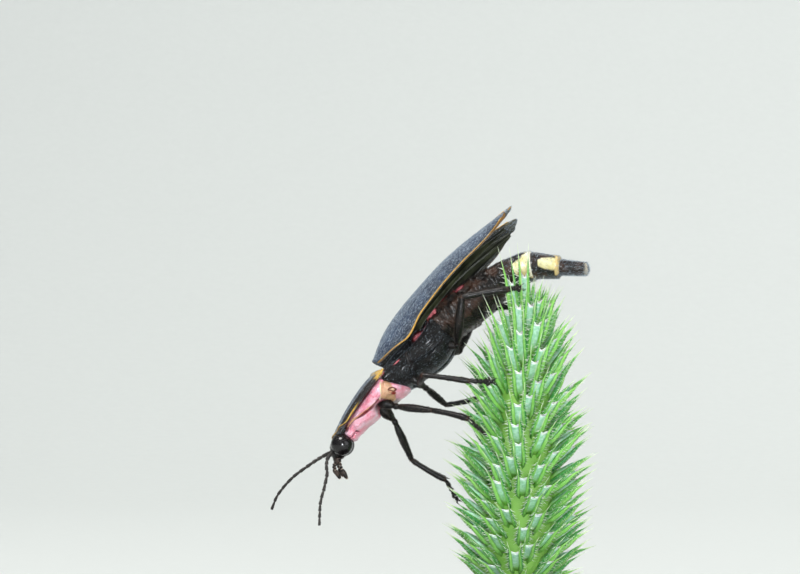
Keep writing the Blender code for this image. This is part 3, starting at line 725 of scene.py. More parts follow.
thorax_mesh = trunk_mesh(ring_seam(3.62, 0.72), 8.55, thorax_relief, 130, 180)
thorax = Finish("thorax_cuticle", Specular_IOR_Level=0.3, Coat_Roughness=0.14, Coat_Weight=0.2)
s, psi = side_of(thorax)
broad, fine = thorax.noise(1600, 4), thorax.noise(12000, 4)
black = thorax.mix(broad.rises(0.5, 0.8) * 0.4, (8, 7, 8), (50, 28, 18))
flesh = fold_skin(thorax, black, s, psi, (broad - 0.5) * 2)
pits = thorax.cells(7000).rises(0.05, 0.4)
thorax.wear(flesh, 0.2 + fine * 0.26, fine + pits * 1.4 + broad * 1.5, 0.15)
piece("thorax_shell", thorax_mesh, thorax, "black_shell", "mesothorax", "metathorax")

# %% [markdown]
# ## The abdomen
#
# The abdomen is a row of rings, each a little wider at its rear edge. An array of one ring would
# be too regular, so one grid has them all. Along the flank a soft fold parts back from belly and
# puckers at every ring. Two rings near the tail carry the pale lanterns.

# %% Shape the rings of the abdomen
RING_ENDS = [8.35, 9.35, 10.42, 11.6, 12.7, 13.75]
TAIL_ENDS = [13.75, 15.12, 16.72, 18.38]


def ring_relief(ends, flare=0.09, pucker=0.12, first=0.0, last=0.0):
    ends = np.array(ends)

    def relief(s, psi):
        i = np.clip(np.searchsorted(ends, s) - 1, 0, len(ends) - 2)
        share = np.clip((s - ends[i]) / (ends[i + 1] - ends[i]), 0, 1)
        raised = flare * (share**1.5) - flare * 0.8 - 0.12 * hill(share, 1.0, 0.05)
        raised -= pucker * hill(psi, 24, 8) * (0.3 + 0.7 * np.sin(math.pi * share))
        raised += 0.06 * hill(psi, 40, 8) + 0.07 * hill(psi, 8, 8) * np.sin(math.pi * share)
        raised -= 0.04 * hill(share, 0.35, 0.1) * hill(psi, -20, 40)
        raised += first + (last - first) * np.clip((s - ends[0]) / (ends[-1] - ends[0]), 0, 1)
        creases = 0.035 * lumps(s, psi, 4) + 0.018 * lumps(s * 2.3, psi * 1.8, 9)
        return raised + creases * hill(psi, 5, 70) * (1.0 if pucker > 0.05 else 0.3)

    return relief


abdomen_mesh = trunk_mesh(8.15, 13.8, ring_relief(RING_ENDS), 230)
print("rings end at", RING_ENDS[1:], "and", TAIL_ENDS[1:])

# %% Brown shell of the abdomen
def lantern_patch(s, psi, rag, start, tip, top, low, shut, rear):
    """A wedge that opens backwards from its tip and may shut again: 1 inside, ragged edges."""
    share = ((s - start) / (rear - start)).at_least(0.0)
    open_way = share**0.42 * (1 - share**4 * shut)
    above = (open_way * (top - tip) + tip - psi + rag * 24).rises(-6, 6)
    below = (psi - open_way * (low - tip) - tip + rag * 24).rises(-6, 6)
    return above * below * (s - start + rag * 0.16).rises(-0.03, 0.08)


def brown_cuticle(name, lantern=None, tip=False):
    """Brown shell, with pink skin in its folds and a lantern where its wedge is given."""
    shell = Finish(name, Specular_IOR_Level=0.35, Coat_Roughness=0.16, Coat_Weight=0.25)
    s, psi = side_of(shell)
    broad, fine, patch = shell.noise(1300, 4), shell.noise(9000, 4), shell.noise(750, 3)
    rag = (patch - 0.5) * 1.7 + (broad - 0.5) * 1.3
    # the light brown flecks of fine noise are painted highlights
    brown = shell.layers((10, 7, 6), (broad.rises(0.42, 0.68), (62, 39, 27)),
                         (fine.rises(0.55, 0.8) * 0.4, (116, 90, 70)))
    colour = fold_skin(shell, brown, s, psi, rag)
    if lantern:
        rear = lantern[-1]
        glow = shell.layers((228, 218, 150), (broad.rises(0.35, 0.65), (246, 238, 190)),
                            (psi.falls(-50, 0) * 0.8, (218, 184, 118)))
        rim = (s + psi.rises(30, 66) * 0.22 + rag * 0.05).rises(rear - 0.26, rear - 0.18)
        pale = (252, 244, 216) if rear < 16 else (222, 194, 128)
        patch_mask = lantern_patch(s, psi, rag, *lantern)
        colour = shell.layers(colour, (patch_mask, glow), (rim * psi.rises(-66, -50), pale))
    if tip:
        colour = shell.mix((s + rag * 0.3).rises(18.1, 18.35), colour, (226, 214, 190))
    shell.wear(colour, 0.2 + fine * 0.3, fine * 0.8 + broad * 2 + patch, 0.14)
    return shell


brown = brown_cuticle("brown_rings")
print("the brown shell has", len(brown.tree.nodes), "nodes")

# %% Rings, lanterns and tip
piece("abdomen_rings", abdomen_mesh, brown, "brown_shell", "abdomen_front", "abdomen_middle")
# where each wedge starts, the side angles of its tip, top and bottom, how far it shuts again,
# its end, and how much the ring swells at its two ends
TAIL = {
    "lantern_front": ((13.95, -14, 46, -62, 0.0, TAIL_ENDS[1]), 0.02, 0.02),
    "lantern_rear": ((15.45, 2, 40, -46, 0.75, TAIL_ENDS[2]), -0.02, 0.07),
    "abdomen_tip": (None, -0.12, -0.05),
}
for (name, (wedge, *swell)), low, high in zip(TAIL.items(), TAIL_ENDS, TAIL_ENDS[1:]):
    start, finish = low - 0.25, brown_cuticle(f"{name}_shell", wedge, tip=wedge is None)
    mesh = trunk_mesh(start, high, ring_relief([start, high + 0.02], 0.06, 0.03, *swell), 44, 130, 0.07)
    piece(f"{name}_ring", mesh, finish, "lantern" if wedge else "brown_shell", name)

# %% [markdown]
# ## The shield
#
# The head hides under a flat shield, the pronotum: slate blue, with a low keel, a nearly black
# stripe along each side and a thin yellow margin that widens at the rear corners. It could be
# sculpted from a plane. This grid follows the same sums as the solid, so it keeps its place, only
# finer, with keel, dish and margin as relief.

# %% Shape the shield
SHIELD_START, SHIELD_LENGTH, SHIELD_HALF, SHIELD_BOW, SHIELD_ANGLE = -0.95, 4.36, 2.1, 1.2, 0.75
SHIELD_TOP, SHIELD_EDGE = 1.06, 0.33


def shield_points(t, u):
    across = 1 - 2 * u
    inside = 1 - np.abs(across) ** 1.8
    half = SHIELD_HALF * (0.62 + 0.38 * np.sin(math.pi / 2 * np.minimum(t / 0.75, 1)))
    front = SHIELD_BOW * (1 - inside * (1 - t) ** 1.5) + SHIELD_ANGLE * np.abs(across) ** 2.2 * t**3
    edge, top = SHIELD_EDGE + 0.2 * (1 - t) ** 2, SHIELD_TOP - 0.2 * (1 - t) ** 4
    distance = SHIELD_START + front + (SHIELD_LENGTH - SHIELD_BOW) * t
    return BODY_AXIS.point(distance, across * half, edge + (top - edge) * inside)


def shield_relief(t, u):
    across = np.abs(1 - 2 * u)
    keel = 0.13 * hill(across, 0, 0.035) * np.sin(math.pi * np.clip(t + 0.12, 0, 1))
    dish = 0.06 * hill(across, 0.3, 0.2) - 0.05 * hill(across, 0.55, 0.12) * np.sin(math.pi * t)
    dish = dish + 0.08 * hill(across, 0.82, 0.1) - 0.08 * step(across, 0.88, 1.0)
    rim = 0.03 * hill(across, 0.975, 0.02) + 0.05 * hill(t, 0.0, 0.03) + 0.06 * hill(t, 1.0, 0.03)
    return keel + dish * (1 - hill(t, 1, 0.2)) + rim


def plate_of(surface, relief, thickness, rows, columns, turn=1):
    """A closed plate whose upper face is the surface raised by the relief."""
    t, u = np.meshgrid(np.linspace(0, 1, rows), np.linspace(0, 1, columns), indexing="ij")
    grid = surface(t, u)
    out = unit(np.cross(np.gradient(grid, axis=0), np.gradient(grid, axis=1)) + 1e-12) * turn
    border = np.minimum(np.minimum(t, 1 - t) * rows, np.minimum(u, 1 - u) * columns)
    upper = grid + out * relief(t, u)[..., None]
    return plate_mesh(upper, upper - out * thickness * (0.35 + 0.65 * step(border, 0, 3))[..., None])


shield_mesh = plate_of(shield_points, shield_relief, 0.2, 120, 131)
print("the shield holds", round(volume(shield_mesh) / MM**3, 2), "cubic mm")

# %% Slate blue with yellow margins
slate = Finish("slate_shield", Specular_IOR_Level=0.5, Sheen_Weight=0.25, Sheen_Roughness=0.4)
u, s = slate.lie()
side = (u * 2 - 1).size()
broad, fine = slate.noise(1500, 4), slate.noise(11000, 4)
gold = slate.mix(fine.rises(0.35, 0.7), (204, 152, 50), (236, 200, 104))
corner = side.rises(0.88, 0.95) * s.rises(3.9, 4.1)
line = side.rises(0.98, 0.99) * s.falls(1.3, 2.4)
edge = line + s.falls(0.04, 0.1) + corner + s.rises(4.2, 4.35)
front = slate.layers(
    (48, 57, 76), (broad.rises(0.35, 0.7), (80, 92, 114)), (side.falls(0.02, 0.07) * 0.6, (22, 22, 27)),
    (side.rises(0.8, 0.86), (22, 16, 13)), (edge.at_most(1.0), gold))
# underneath, the dark brown near the edge is partly its own colour and partly painted shade, and the dark
# brown at the front is painted shade where the shield hangs over the head
below = slate.layers((34, 22, 15), (side.falls(0.55, 0.75), (226, 110, 118)),
                     (s.falls(0.8, 1.4), (50, 36, 22)), ((line + corner).at_most(1.0), gold))
pits = slate.cells(5200).rises(0.08, 0.38) * side.rises(0.3, 0.5)
height = pits * 0.8 + fine * 0.5 + broad * 0.5
slate.wear(slate.mix(slate.own("Under"), front, below), 0.42 + fine * 0.2, height, 0.06)
piece("shield_plate", shield_mesh, slate, "shield", "pronotum")

# %% [markdown]
# ## The wing cases
#
# The long leathery cases cover the back, slate blue to black with a bloom of fine grey hairs, a
# narrow gold edge and a few low ribs. Their paler upper part and darker lower part are painted
# light and shade. A flat plate could be bent to their curve, but a surface in two numbers gives
# the sweep of the outer edge and the droop of the further case at once.

# %% Shape the wing cases
CASE_HALF_GAP, CASE_TIP_PART, CASE_SINK = 0.17, 0.62, 0.3
CASE_WIDTH = [1.15, 2.05, 2.1, 2.15, 2.05, 1.7, 0.75]
CASE_DROP = [0.6, 2.0, 1.86, 1.74, 1.54, 1.14, 0.28]
SIDES = {"left": 1, "right": -1}
TIP_PART, TIP_DROP = {1: 0.16, -1: -0.05}, {1: 0.0, -1: 0.38}  # the further one droops a little


def case_spot(t):
    """The inner edge, the width and the drop of a case at t."""
    inner = CASE_HALF_GAP + (CASE_TIP_PART - CASE_HALF_GAP) * t**2.4
    return inner, smooth(CASE_WIDTH, t)[..., 0], smooth(CASE_DROP, t)[..., 0]


def case_points(side):
    def surface(t, u):
        inner, width, drop = case_spot(t)
        distance = (CASE_AXIS.length + TIP_PART[side]) * t - 0.55 * (2 * u - 1) ** 2 * t**8
        sink = CASE_SINK * np.sin(math.pi * t) * (1 - u**2) + TIP_DROP[side] * t**2
        return CASE_AXIS.point(distance, side * (inner + width * u), -drop * u**2.1 - sink)

    return surface


def case_relief(t, u):
    ribs = sum(hill(u, at, 0.02) for at in (0.2, 0.42, 0.64)) * np.sin(math.pi * np.clip(t, 0, 1)) ** 0.6
    bead = 0.05 * (hill(u, 1.0, 0.02) + hill(u, 0.0, 0.02)) - 0.03 * hill(u, 0.93, 0.03)
    return 0.035 * ribs + bead + 0.1 * hill(t, 0.06, 0.05) * hill(u, 0.62, 0.16)


print("a case is", round(float(case_spot(0.5)[1]), 2), "mm wide at its middle")

# %% Leathery slate with a gold edge
leather = Finish("leathery_case", Specular_IOR_Level=0.45, Sheen_Weight=0.3, Sheen_Roughness=0.35)
leather.give(Sheen_Tint=(0.75, 0.85, 1.0))
u, s = leather.lie()
under, broad, fine = leather.own("Under"), leather.noise(700, 4), leather.noise(9000, 4)
long_way = leather.vector("MULTIPLY", leather.node("ShaderNodeUVMap", uv_map="Lie"), (60, 0.5, 1))
streak = leather.noise(6, 3, long_way)
speck = leather.cells(7000).falls(0.16, 0.3) * fine.rises(0.35, 0.6)
edge = u.rises(0.962, 0.972) + u.falls(0.012, 0.022) + s.rises(12.3, 12.5)
gold = leather.mix(fine.rises(0.4, 0.7), (214, 160, 44), (236, 190, 84))
top = leather.layers(
    (26, 39, 64), (broad.rises(0.3, 0.7), (54, 73, 102)),
    # painted light: the upper part of each case, by the seam, turns pale grey-blue, more so further back
    (u.falls(0.1, 0.8) * (s.rises(1.5, 7.5) * 0.5 + 0.45), (162, 177, 192)),
    (streak.rises(0.5, 0.8) * 0.3, (126, 140, 160)), (speck * 0.7, (196, 206, 220)),
    # painted shade: the second layer here darkens the drooping lower part of each case
    (u.falls(0.0, 0.12) * 0.5, (26, 27, 33)), (u.rises(0.8, 0.95) * 0.6, (24, 27, 36)),
    (edge.at_most(1.0), gold))
below = leather.layers((40, 39, 33), (broad.rises(0.4, 0.7), (84, 84, 66)),
                       (u.rises(0.94, 0.96), (120, 84, 30)))
height = leather.cells(6500).rises(0.1, 0.45) + fine * 0.5 + streak * 0.4
leather.wear(leather.mix(under, top, below), 0.42 + fine * 0.25 + under * 0.1, height, 0.035)
for word, side in SIDES.items():
    mesh = plate_of(case_points(side), case_relief, 0.16, 240, 84, -side)
    piece(f"case_{word}", mesh, leather, "wing_case", f"elytron_{word}")

# %% [markdown]
# ## The folded flight wings
#
# Under the cases lie the smoky flight wings, of which only the edges show. Cloth could fold them,
# but so little shows that plates of a few hundredths of a millimetre do, with the main veins as
# ridges and a soft wave for the fold.

# %% Shape the flight wings
WING_SPAN, WING_WIDTH, WING_DEPTH, WING_FALL = (0.16, 0.93), 0.66, 0.95, 1.45
WING_VEINS = (0.1, 0.34, 0.6, 0.86)


def wing_points(side):
    def surface(t, u):
        along = WING_SPAN[0] + (WING_SPAN[1] - WING_SPAN[0]) * t
        across = WING_WIDTH * u * (1 - 0.35 * t**4) * (0.3 + 0.7 * step(t, 0, 0.14))
        inner, width, drop = case_spot(along)
        up = 0.06 * np.sin(u * 9 + t * 4) - WING_DEPTH - WING_FALL * across**2 * drop
        return CASE_AXIS.point(CASE_AXIS.length * along, side * (inner + width * across), up)

    return surface


def wing_relief(t, u):
    return sum(0.05 * hill(u, at + 0.06 * t, 0.022) for at in WING_VEINS)


smoke = Finish("smoky_membrane", Specular_IOR_Level=0.4)
u = smoke.lie()[0]
vein = sum(u.near(at, 0.015, 0.035) for at in WING_VEINS).at_most(1.0)
cloud = smoke.noise(1500, 4)
film = smoke.layers((24, 25, 17), (cloud.rises(0.25, 0.75), (66, 70, 50)), (vein, (14, 12, 11)))
smoke.wear(film, 0.25 + cloud * 0.2, smoke.noise(5000, 4), 0.03)
for word, side in SIDES.items():
    mesh = plate_of(wing_points(side), wing_relief, 0.05, 110, 70, -side)
    piece(f"flight_wing_{word}", mesh, smoke, "membrane", f"hindwing_{word}")

# %% [markdown]
# ## The head
#
# The small black head is mostly eye. It bends down under the shield, feelers in front and jaws
# below. It could be sculpted. Here the capsule is a ball raised by sums, with a hollow between
# the feelers, a lip and two sockets, in its own directions, so that all can be moved by numbers.

# %% The head's own directions
HEAD, MOUTH, HEAD_ROLL = (-5.98, 14.44), (-6.3, 13.72), math.radians(6)
head_middle = in_plane(*HEAD)
HEAD_LEFT = FLAT_UP * math.sin(HEAD_ROLL) - DEPTH * math.cos(HEAD_ROLL)
DOWN = in_plane(*MOUTH) - head_middle
DOWN = unit(DOWN - HEAD_LEFT * (DOWN @ HEAD_LEFT))
HEAD_WAYS = (HEAD_LEFT, DOWN, np.cross(HEAD_LEFT, DOWN))


def turned(parts):
    """The sum of the head's three directions, each as long as its part says."""
    return sum(np.asarray(part, float)[..., None] * way for part, way in zip(parts, HEAD_WAYS))


def ball_grid(rows, sides, start, end):
    """Across, across and along for the hoops of a ball, between two angles from its pole."""
    polar, turn = np.linspace(start, end, rows)[:, None], turns_of(sides)
    return np.sin(polar) * np.cos(turn), np.sin(polar) * np.sin(turn), np.cos(polar) + 0 * turn


HEAD_SIZE = (0.62, 0.82, 0.6)
left, front, up = ball_grid(60, 72, 0.02, math.pi - 0.02)
down = -up
hollow = 0.14 * hill(left, 0, 0.28) * hill(down, 0.05, 0.3)
lip = 0.08 * hill(down, 0.72, 0.1) * hill(left, 0, 0.5)
socket = 0.1 * hill(np.abs(left), 0.26, 0.12) * hill(down, 0.22, 0.14)
swell = (1 + (lip + socket - hollow) * (front > 0)) * (1 - 0.22 * step(down, 0.1, 1.0))
parts = (left * swell * HEAD_SIZE[0], down * HEAD_SIZE[1], front * swell * HEAD_SIZE[2])
piece("head_capsule", hoop_mesh(head_middle + turned(parts)), SHELL, "black_shell", "head")

# %% [markdown]
# ## The eyes
#
# Each eye is a dome of thousands of facets. As faces they would be far too many, so the dome is
# smooth and a Voronoi pattern gives them as bump, under a clear coat with its one bright glint.

# %% Domes with facets
EYE_MIDDLE, EYE_SIZE = (-5.83, 14.585), (0.6, 0.665)
EYE_ROOT = {1: 0.6, -1: 0.46}
eye_shell = Finish("faceted_eye", Specular_IOR_Level=0.2, Coat_Weight=0.6, Coat_Roughness=0.05)
facet, depth = eye_shell.cells(26000, feature="DISTANCE_TO_EDGE"), eye_shell.noise(900, 2)
eye_shell.wear(eye_shell.mix(depth, (5, 4, 6), (18, 12, 14)), 0.2 + depth * 0.1,
               facet.rises(0.0, 0.25), 0.004)
for word, side in SIDES.items():
    down, front, out = ball_grid(48, 64, 0.01, math.pi * 0.62)
    parts = ((EYE_ROOT[side] + EYE_SIZE[0] * out) * side, EYE_SIZE[1] * down, EYE_SIZE[1] * front)
    mesh = hoop_mesh(in_plane(*EYE_MIDDLE) + turned(parts))
    piece(f"eye_{word}_dome", mesh, eye_shell, "eye", f"eye_{word}")

# %% [markdown]
# ## Jointed tubes
#
# Feelers, legs and palps are tubes along a line. A curve with a taper could vary their thickness,
# but a joint ends in a sudden step inside the next. So each tube is a set of hoops along a path,
# and many tubes make one mesh.


# %% Tubes along a path
def tube_rings(path, radii, flat=1.0, sides=20, side_way=(0.31, 0.22, 0.93)):
    """Hoops along a path. Flat is the thickness across the side way as a part of the radius."""
    path, radii = np.asarray(path, float), np.asarray(radii, float)
    side, hoops = np.array(side_way, float), []
    ways, flats = unit(np.gradient(path, axis=0)), np.broadcast_to(flat, radii.shape)
    for point, way, radius, press in zip(path, ways, radii, flats):
        side = unit(side - way * (side @ way))
        hoops.append(point + circle(turns_of(sides), side, np.cross(way, side) * press) * radius)
    return np.array(hoops)


def joined(meshes):
    """One mesh from many, keeping their UV maps and numbers."""
    things = [put("tube", mesh) for mesh in meshes]
    chosen = dict.fromkeys(("selected_objects", "selected_editable_objects"), things)
    with bpy.context.temp_override(active_object=things[0], **chosen):
        bpy.ops.object.join()
    mesh = things[0].data
    bpy.data.objects.remove(things[0])
    return mesh


print("tube of two hoops:", tube_rings([(0, 0, 0), (0, 0, 1)], [1, 1]).shape)

# %% [markdown]
# ## Feelers
#
# A feeler has eleven joints: a long first one, a short second, and nine that narrow slowly. Each
# is wider at its far end and tucks into the next. An array along a curve would make them equal,
# so one tube takes its radii from a row of joint lengths. A fine grey down covers the black.

# %% Make the feelers
FEELERS = {
    "left": [-6.44, -0.3, 14.16, -6.74, -0.45, 13.78, -6.8, -0.6, 13.3, -6.76, -0.7, 12.9,
             -6.92, -0.85, 12.08, -7.16, -1.0, 11.11, -7.22, -1.2, 9.81],
    "right": [-6.44, 0.12, 14.22, -6.75, 0.28, 14.04, -7.25, 0.45, 13.76, -7.95, 0.85, 13.28,
              -8.9, 1.3, 12.55, -9.75, 1.75, 11.55, -10.16, 2.1, 10.61],
}
FEELER_JOINTS = [1.5, 0.62, 0.85, 1.0, 1.05, 1.05, 1.05, 1.0, 0.95, 0.95, 1.1]
FEELER_RADIUS, FEELER_TIP = 0.118, 0.72
JOINT_PLACES = np.array([0.0, 0.04, 0.25, 0.7, 0.92, 0.985, 1.0])
JOINT_SWELLS = np.array([0.35, 0.6, 0.8, 0.98, 1.0, 0.8, 0.4])


def feeler_rings(points):
    """Hoops of a feeler whose joints have the given lengths."""
    shares = np.concatenate([[0], np.cumsum(FEELER_JOINTS)]) / sum(FEELER_JOINTS)
    places = (shares[:-1, None] + np.diff(shares)[:, None] * JOINT_PLACES).ravel()
    radii = FEELER_RADIUS * np.tile(JOINT_SWELLS, len(FEELER_JOINTS)) * (1 + (FEELER_TIP - 1) * places)
    fine = smooth(points, np.linspace(0, 1, 400))
    lengths = lengths_along(fine)
    even = between(np.linspace(0, lengths[-1], 600), lengths, fine)
    print("length", round(lengths[-1], 2), "mm")
    return tube_rings(between(places, np.linspace(0, 1, 600), even), radii, 1.0, 16)


down_grey = Finish("downy_black", Specular_IOR_Level=0.5, Sheen_Weight=0.5, Sheen_Roughness=0.4)
fine = down_grey.noise(12000, 3)
dusty = down_grey.mix(fine.rises(0.45, 0.75) * 0.7, (22, 19, 18), (92, 82, 74))
down_grey.wear(dusty, 0.45 + fine * 0.25, fine, 0.03)
for word, points in FEELERS.items():
    mesh = hoop_mesh(feeler_rings(np.reshape(points, (-1, 3))))
    piece(f"feeler_{word}", mesh, down_grey, "black_shell", f"antenna_{word}")

# %% [markdown]
# ## Mouthparts
#
# Below the head hang two pairs of palps, whose last joint is swollen like a seed, and between
# them a pair of small jaws. Metaballs would melt them into one, so each joint is a tube of its
# own with rounded ends and a pale ring where it bends.

# %% Make the jaws and palps
PALPS = np.reshape([
    -6.02, -0.34, 13.8, -5.96, -0.44, 13.4, -5.84, -0.46, 13.08, -5.56, -0.42, 12.56,
    -6.2, -0.16, 13.62, -6.3, -0.12, 13.32, -6.24, -0.06, 13.02, -5.98, -0.02, 12.55,
    -6.1, 0.34, 13.8, -6.14, 0.44, 13.4, -6.02, 0.46, 13.1, -5.8, 0.42, 12.66,
    -6.24, 0.16, 13.66, -6.38, 0.2, 13.36, -6.34, 0.26, 13.1, -6.16, 0.3, 12.78,
], (4, 4, 3))
PALP_ENDS = np.array([0, 0.7, 1.25, 1.85, 3.2]) / 3.2
PALP_SWELLS, PALP_RADIUS = [0.75, 0.8, 0.85, 1.35], 0.105
JAW = [(0.26, 0.62, 0.16), (0.24, 0.86, 0.26), (0.1, 1.02, 0.24), (-0.06, 1.05, 0.16)]
inside, tapers = np.linspace(0, 1, 12), 1 - np.linspace(0, 0.93, 14) ** 2
round_form = 0.25 + 0.75 * np.sin(math.pi * np.clip(inside, 0.03, 0.97)) ** 0.55
meshes = []
for path in PALPS:
    for swell, low, high in zip(PALP_SWELLS, PALP_ENDS, PALP_ENDS[1:]):
        spots = smooth(path, low + (high - low) * inside)
        rings = tube_rings(spots, PALP_RADIUS * swell * round_form, sides=16)
        meshes.append(hoop_mesh(rings, inside))
for side in (1, -1):
    path = head_middle + turned(np.transpose(JAW) * np.array((side, 1, 1))[:, None])
    rings = tube_rings(smooth(path, np.linspace(0, 1, 14)), 0.13 * tapers, 0.7, 14)
    meshes.append(hoop_mesh(rings, np.linspace(0.4, 0.6, 14)))
lump = [part * size for part, size in zip(ball_grid(14, 18, 0.05, math.pi - 0.05), (0.34, 0.2, 0.24))]
meshes.append(hoop_mesh(head_middle + turned((0, 0.76, 0.12)) + turned(lump)))
palp_shell = black_cuticle("palp_cuticle", gloss=0.5, Coat_Roughness=0.3)
s = palp_shell.lie()[1]
ends = (s.falls(0.02, 0.13) + s.rises(0.9, 0.98)).at_most(1.0)
brown = palp_shell.noise(3000, 3).rises(0.4, 0.65)
palp_shell.give(Base_Color=palp_shell.layers(
    (24, 21, 21), (brown, (74, 60, 52)), (ends * 0.8, (204, 184, 168))))
piece("jaws_and_palps", joined(meshes), palp_shell, "black_shell", "mouthparts")

# %% [markdown]
# ## Legs
#
# Each leg has a round hip, a small ring, a flat thigh, a straight shin with two spurs, and a foot
# of five joints, whose fourth is split in two lobes, with two claws. A skin modifier could grow a
# leg from a few edges, but it rounds away the joints, so each length is a tube.

# %% Where the legs go
LEGS = {  # hip, ring, knee, ankle and toe of each leg
    "fore_left": [-3.55, -0.5, 17.2, -2.75, -0.85, 16.93, -0.47, -1.95, 16.71,
                  1.66, -2.7, 16.24, 2.62, -2.9, 15.35],
    "fore_right": [-3.6, 0.05, 16.9, -2.75, 0.5, 16.05, -1.7, 1.35, 13.65,
                   0.34, 1.3, 12.45, 1.05, 1.05, 11.25],
    "mid_left": [-1.95, -0.7, 18.9, -1.25, -1.25, 18.3, -1.05, -2.95, 18.84,
                 1.74, -3.3, 18.48, 3.1, -3.25, 18.45],
    "mid_right": [-1.85, 0.2, 18.7, -0.92, 0.75, 18.05, 0.39, 2.15, 16.93,
                  2.7, 2.5, 17.4, 3.85, 2.7, 17.25],
    "hind_left": [0.05, -0.7, 20.75, 1.0, -1.35, 20.5, 1.26, -2.75, 23.46,
                  4.02, -2.75, 23.92, 4.78, -2.1, 24.02],
    "hind_right": [0.25, 0.2, 20.35, 1.15, 0.75, 20.15, 2.2, 2.4, 22.6,
                   4.55, 2.4, 22.95, 5.45, 1.8, 22.55],
}
LEGS = {name: np.reshape(points, (5, 3)) for name, points in LEGS.items()}
THIGH_BOW, LEG_THICK = dict(fore=0.05, mid=0.05, hind=0.45), dict(fore=1.0, mid=0.92, hind=1.18)
HIP_RADIUS, THIGH_RADIUS, SHIN_RADIUS, FOOT_RADIUS = 0.4, 0.28, 0.2, 0.145
THIGH_SWELL = np.array([0.5, 0.78, 0.95, 1.0, 1.0, 0.95, 0.86, 0.76, 0.62])
SHIN_SWELL = np.array([0.75, 0.95, 0.9, 0.9, 0.95, 1.0, 1.05, 1.12, 0.9])
FOOT_ENDS = [0, 0.34, 0.54, 0.7, 0.8, 1.0]
for name, points in LEGS.items():
    print(name, round(lengths_along(points)[-1], 1), "mm long")


# %% Limbs and feet
def limb(points, radii, flat=1.0, side=(0, 1, 0.2), count=40, sides=20):
    """A closed tube whose radii are spread evenly along smooth points."""
    t = np.linspace(0, 1, count)
    return hoop_mesh(tube_rings(smooth(points, t), smooth(radii, t)[:, 0], flat, sides, side), t)


def foot(ankle, toe, spread):
    """Two claws, then five joints, the fourth in two lobes."""
    ahead, reach = unit(toe - ankle), np.linalg.norm(toe - ankle)
    made = []
    for side in (spread, -spread):
        root = toe - ahead * 0.02 + side * 0.03
        bow = root + ahead * 0.16 + side * 0.14
        tip = bow + ahead * 0.16 + side * 0.02 - np.cross(ahead, spread) * 0.1
        path = [root, (root + bow) / 2 + ahead * 0.02, bow, tip]
        made.append(limb(path, [0.055, 0.05, 0.035, 0.005], count=14, sides=10))
    for k, (low, high) in enumerate(zip(FOOT_ENDS, FOOT_ENDS[1:])):
        start, end = ankle + ahead * reach * low, ankle + ahead * reach * high
        if k == 3:
            for side in (spread, -spread):
                tip = end + side * 0.15 + ahead * 0.12
                path = [start, (start + tip) / 2 + side * 0.05, tip]
                made.append(limb(path, [0.07, 0.15, 0.05], 0.6, spread, 12, 12))
        else:
            radii = FOOT_RADIUS * np.array([0.55, 0.8, 1.1, 0.8]) * (0.8 if k == 4 else 1.0)
            path = [start + (end - start) * x for x in (0, 0.35, 0.8, 1.04)]
            made.append(limb(path, radii, 0.8, spread, 16, 14))
    return made


print("joints in a foot:", len(FOOT_ENDS) - 1)


# %% Build the legs
def leg_meshes(name):
    hip, ring, knee, ankle, toe = LEGS[name]
    pair = name.split("_")[0]
    share = np.linspace(0, 1, 9)[:, None]
    arch = np.sin(math.pi * share)
    way, down = unit(knee - ring), unit(ankle - knee)
    bow = DEPTH * math.copysign(THIGH_BOW[pair], knee[1])
    thigh = ring + way * 0.22 + (knee - ring - way * 0.22) * share + bow * arch
    shin = knee - down * 0.05 + (ankle - knee + down * 0.05) * share + unit(way - down) * 0.06 * arch
    made = [
        limb([hip, (hip + ring) / 2, ring], np.array([0.9, 1.0, 0.36]) * HIP_RADIUS, 0.85),
        limb([ring + way * x for x in (-0.12, 0.1, 0.34)], [0.12, 0.2, 0.15], 0.9, count=14),
        limb(thigh, THIGH_RADIUS * LEG_THICK[pair] * THIGH_SWELL, 0.8, count=60),
        limb(shin, SHIN_RADIUS * LEG_THICK[pair] * SHIN_SWELL, 0.85, count=60),
    ]
    for turn in (0.5, -0.5):
        across = unit(np.cross(down, (0.2, 1, 0.1))) * turn
        start = ankle - down * 0.12 + across * 0.15
        tip = start + down * 0.34 + across * 0.25
        made.append(limb([start, (start + tip) / 2, tip], [0.035, 0.03, 0.004], count=8, sides=8))
    return made + foot(ankle, toe, unit(np.cross(unit(toe - ankle), down + np.array((0, 0.3, 0.1)))))


leg_shell = Finish("leg_cuticle", Specular_IOR_Level=0.3, Coat_Roughness=0.15, Coat_Weight=0.15)
s = leg_shell.lie()[1]
broad, fine = leg_shell.noise(2200, 4), leg_shell.noise(13000, 3)
ends = (s.falls(0.0, 0.05) + s.rises(0.95, 1.0)).at_most(1.0)
joint = leg_shell.layers((9, 8, 9), (broad.rises(0.5, 0.75) * 0.3, (50, 32, 22)),
                         (ends * 0.35, (96, 62, 44)))
leg_shell.wear(joint, 0.28 + fine * 0.2, fine + broad, 0.03)
for name in LEGS:
    piece(f"leg_{name}_limb", joined(leg_meshes(name)), leg_shell, "black_shell", f"leg_{name}")

# %% [markdown]
# ## Recipes for what repeats
#
# Spikelets, lashes and hairs come in hundreds, so Geometry Nodes set them out, by a tree with
# named inputs and a fixed seed. It ends by making its instances real, because an export drops
# them. Inputs go by socket identifier, and the result becomes a plain mesh with no modifier.


# %% A Geometry Nodes tree with named inputs
STRAND_PATCH = 0.003  # the side of one strand's patch on OFBake
VECTOR = "FLOAT_VECTOR"


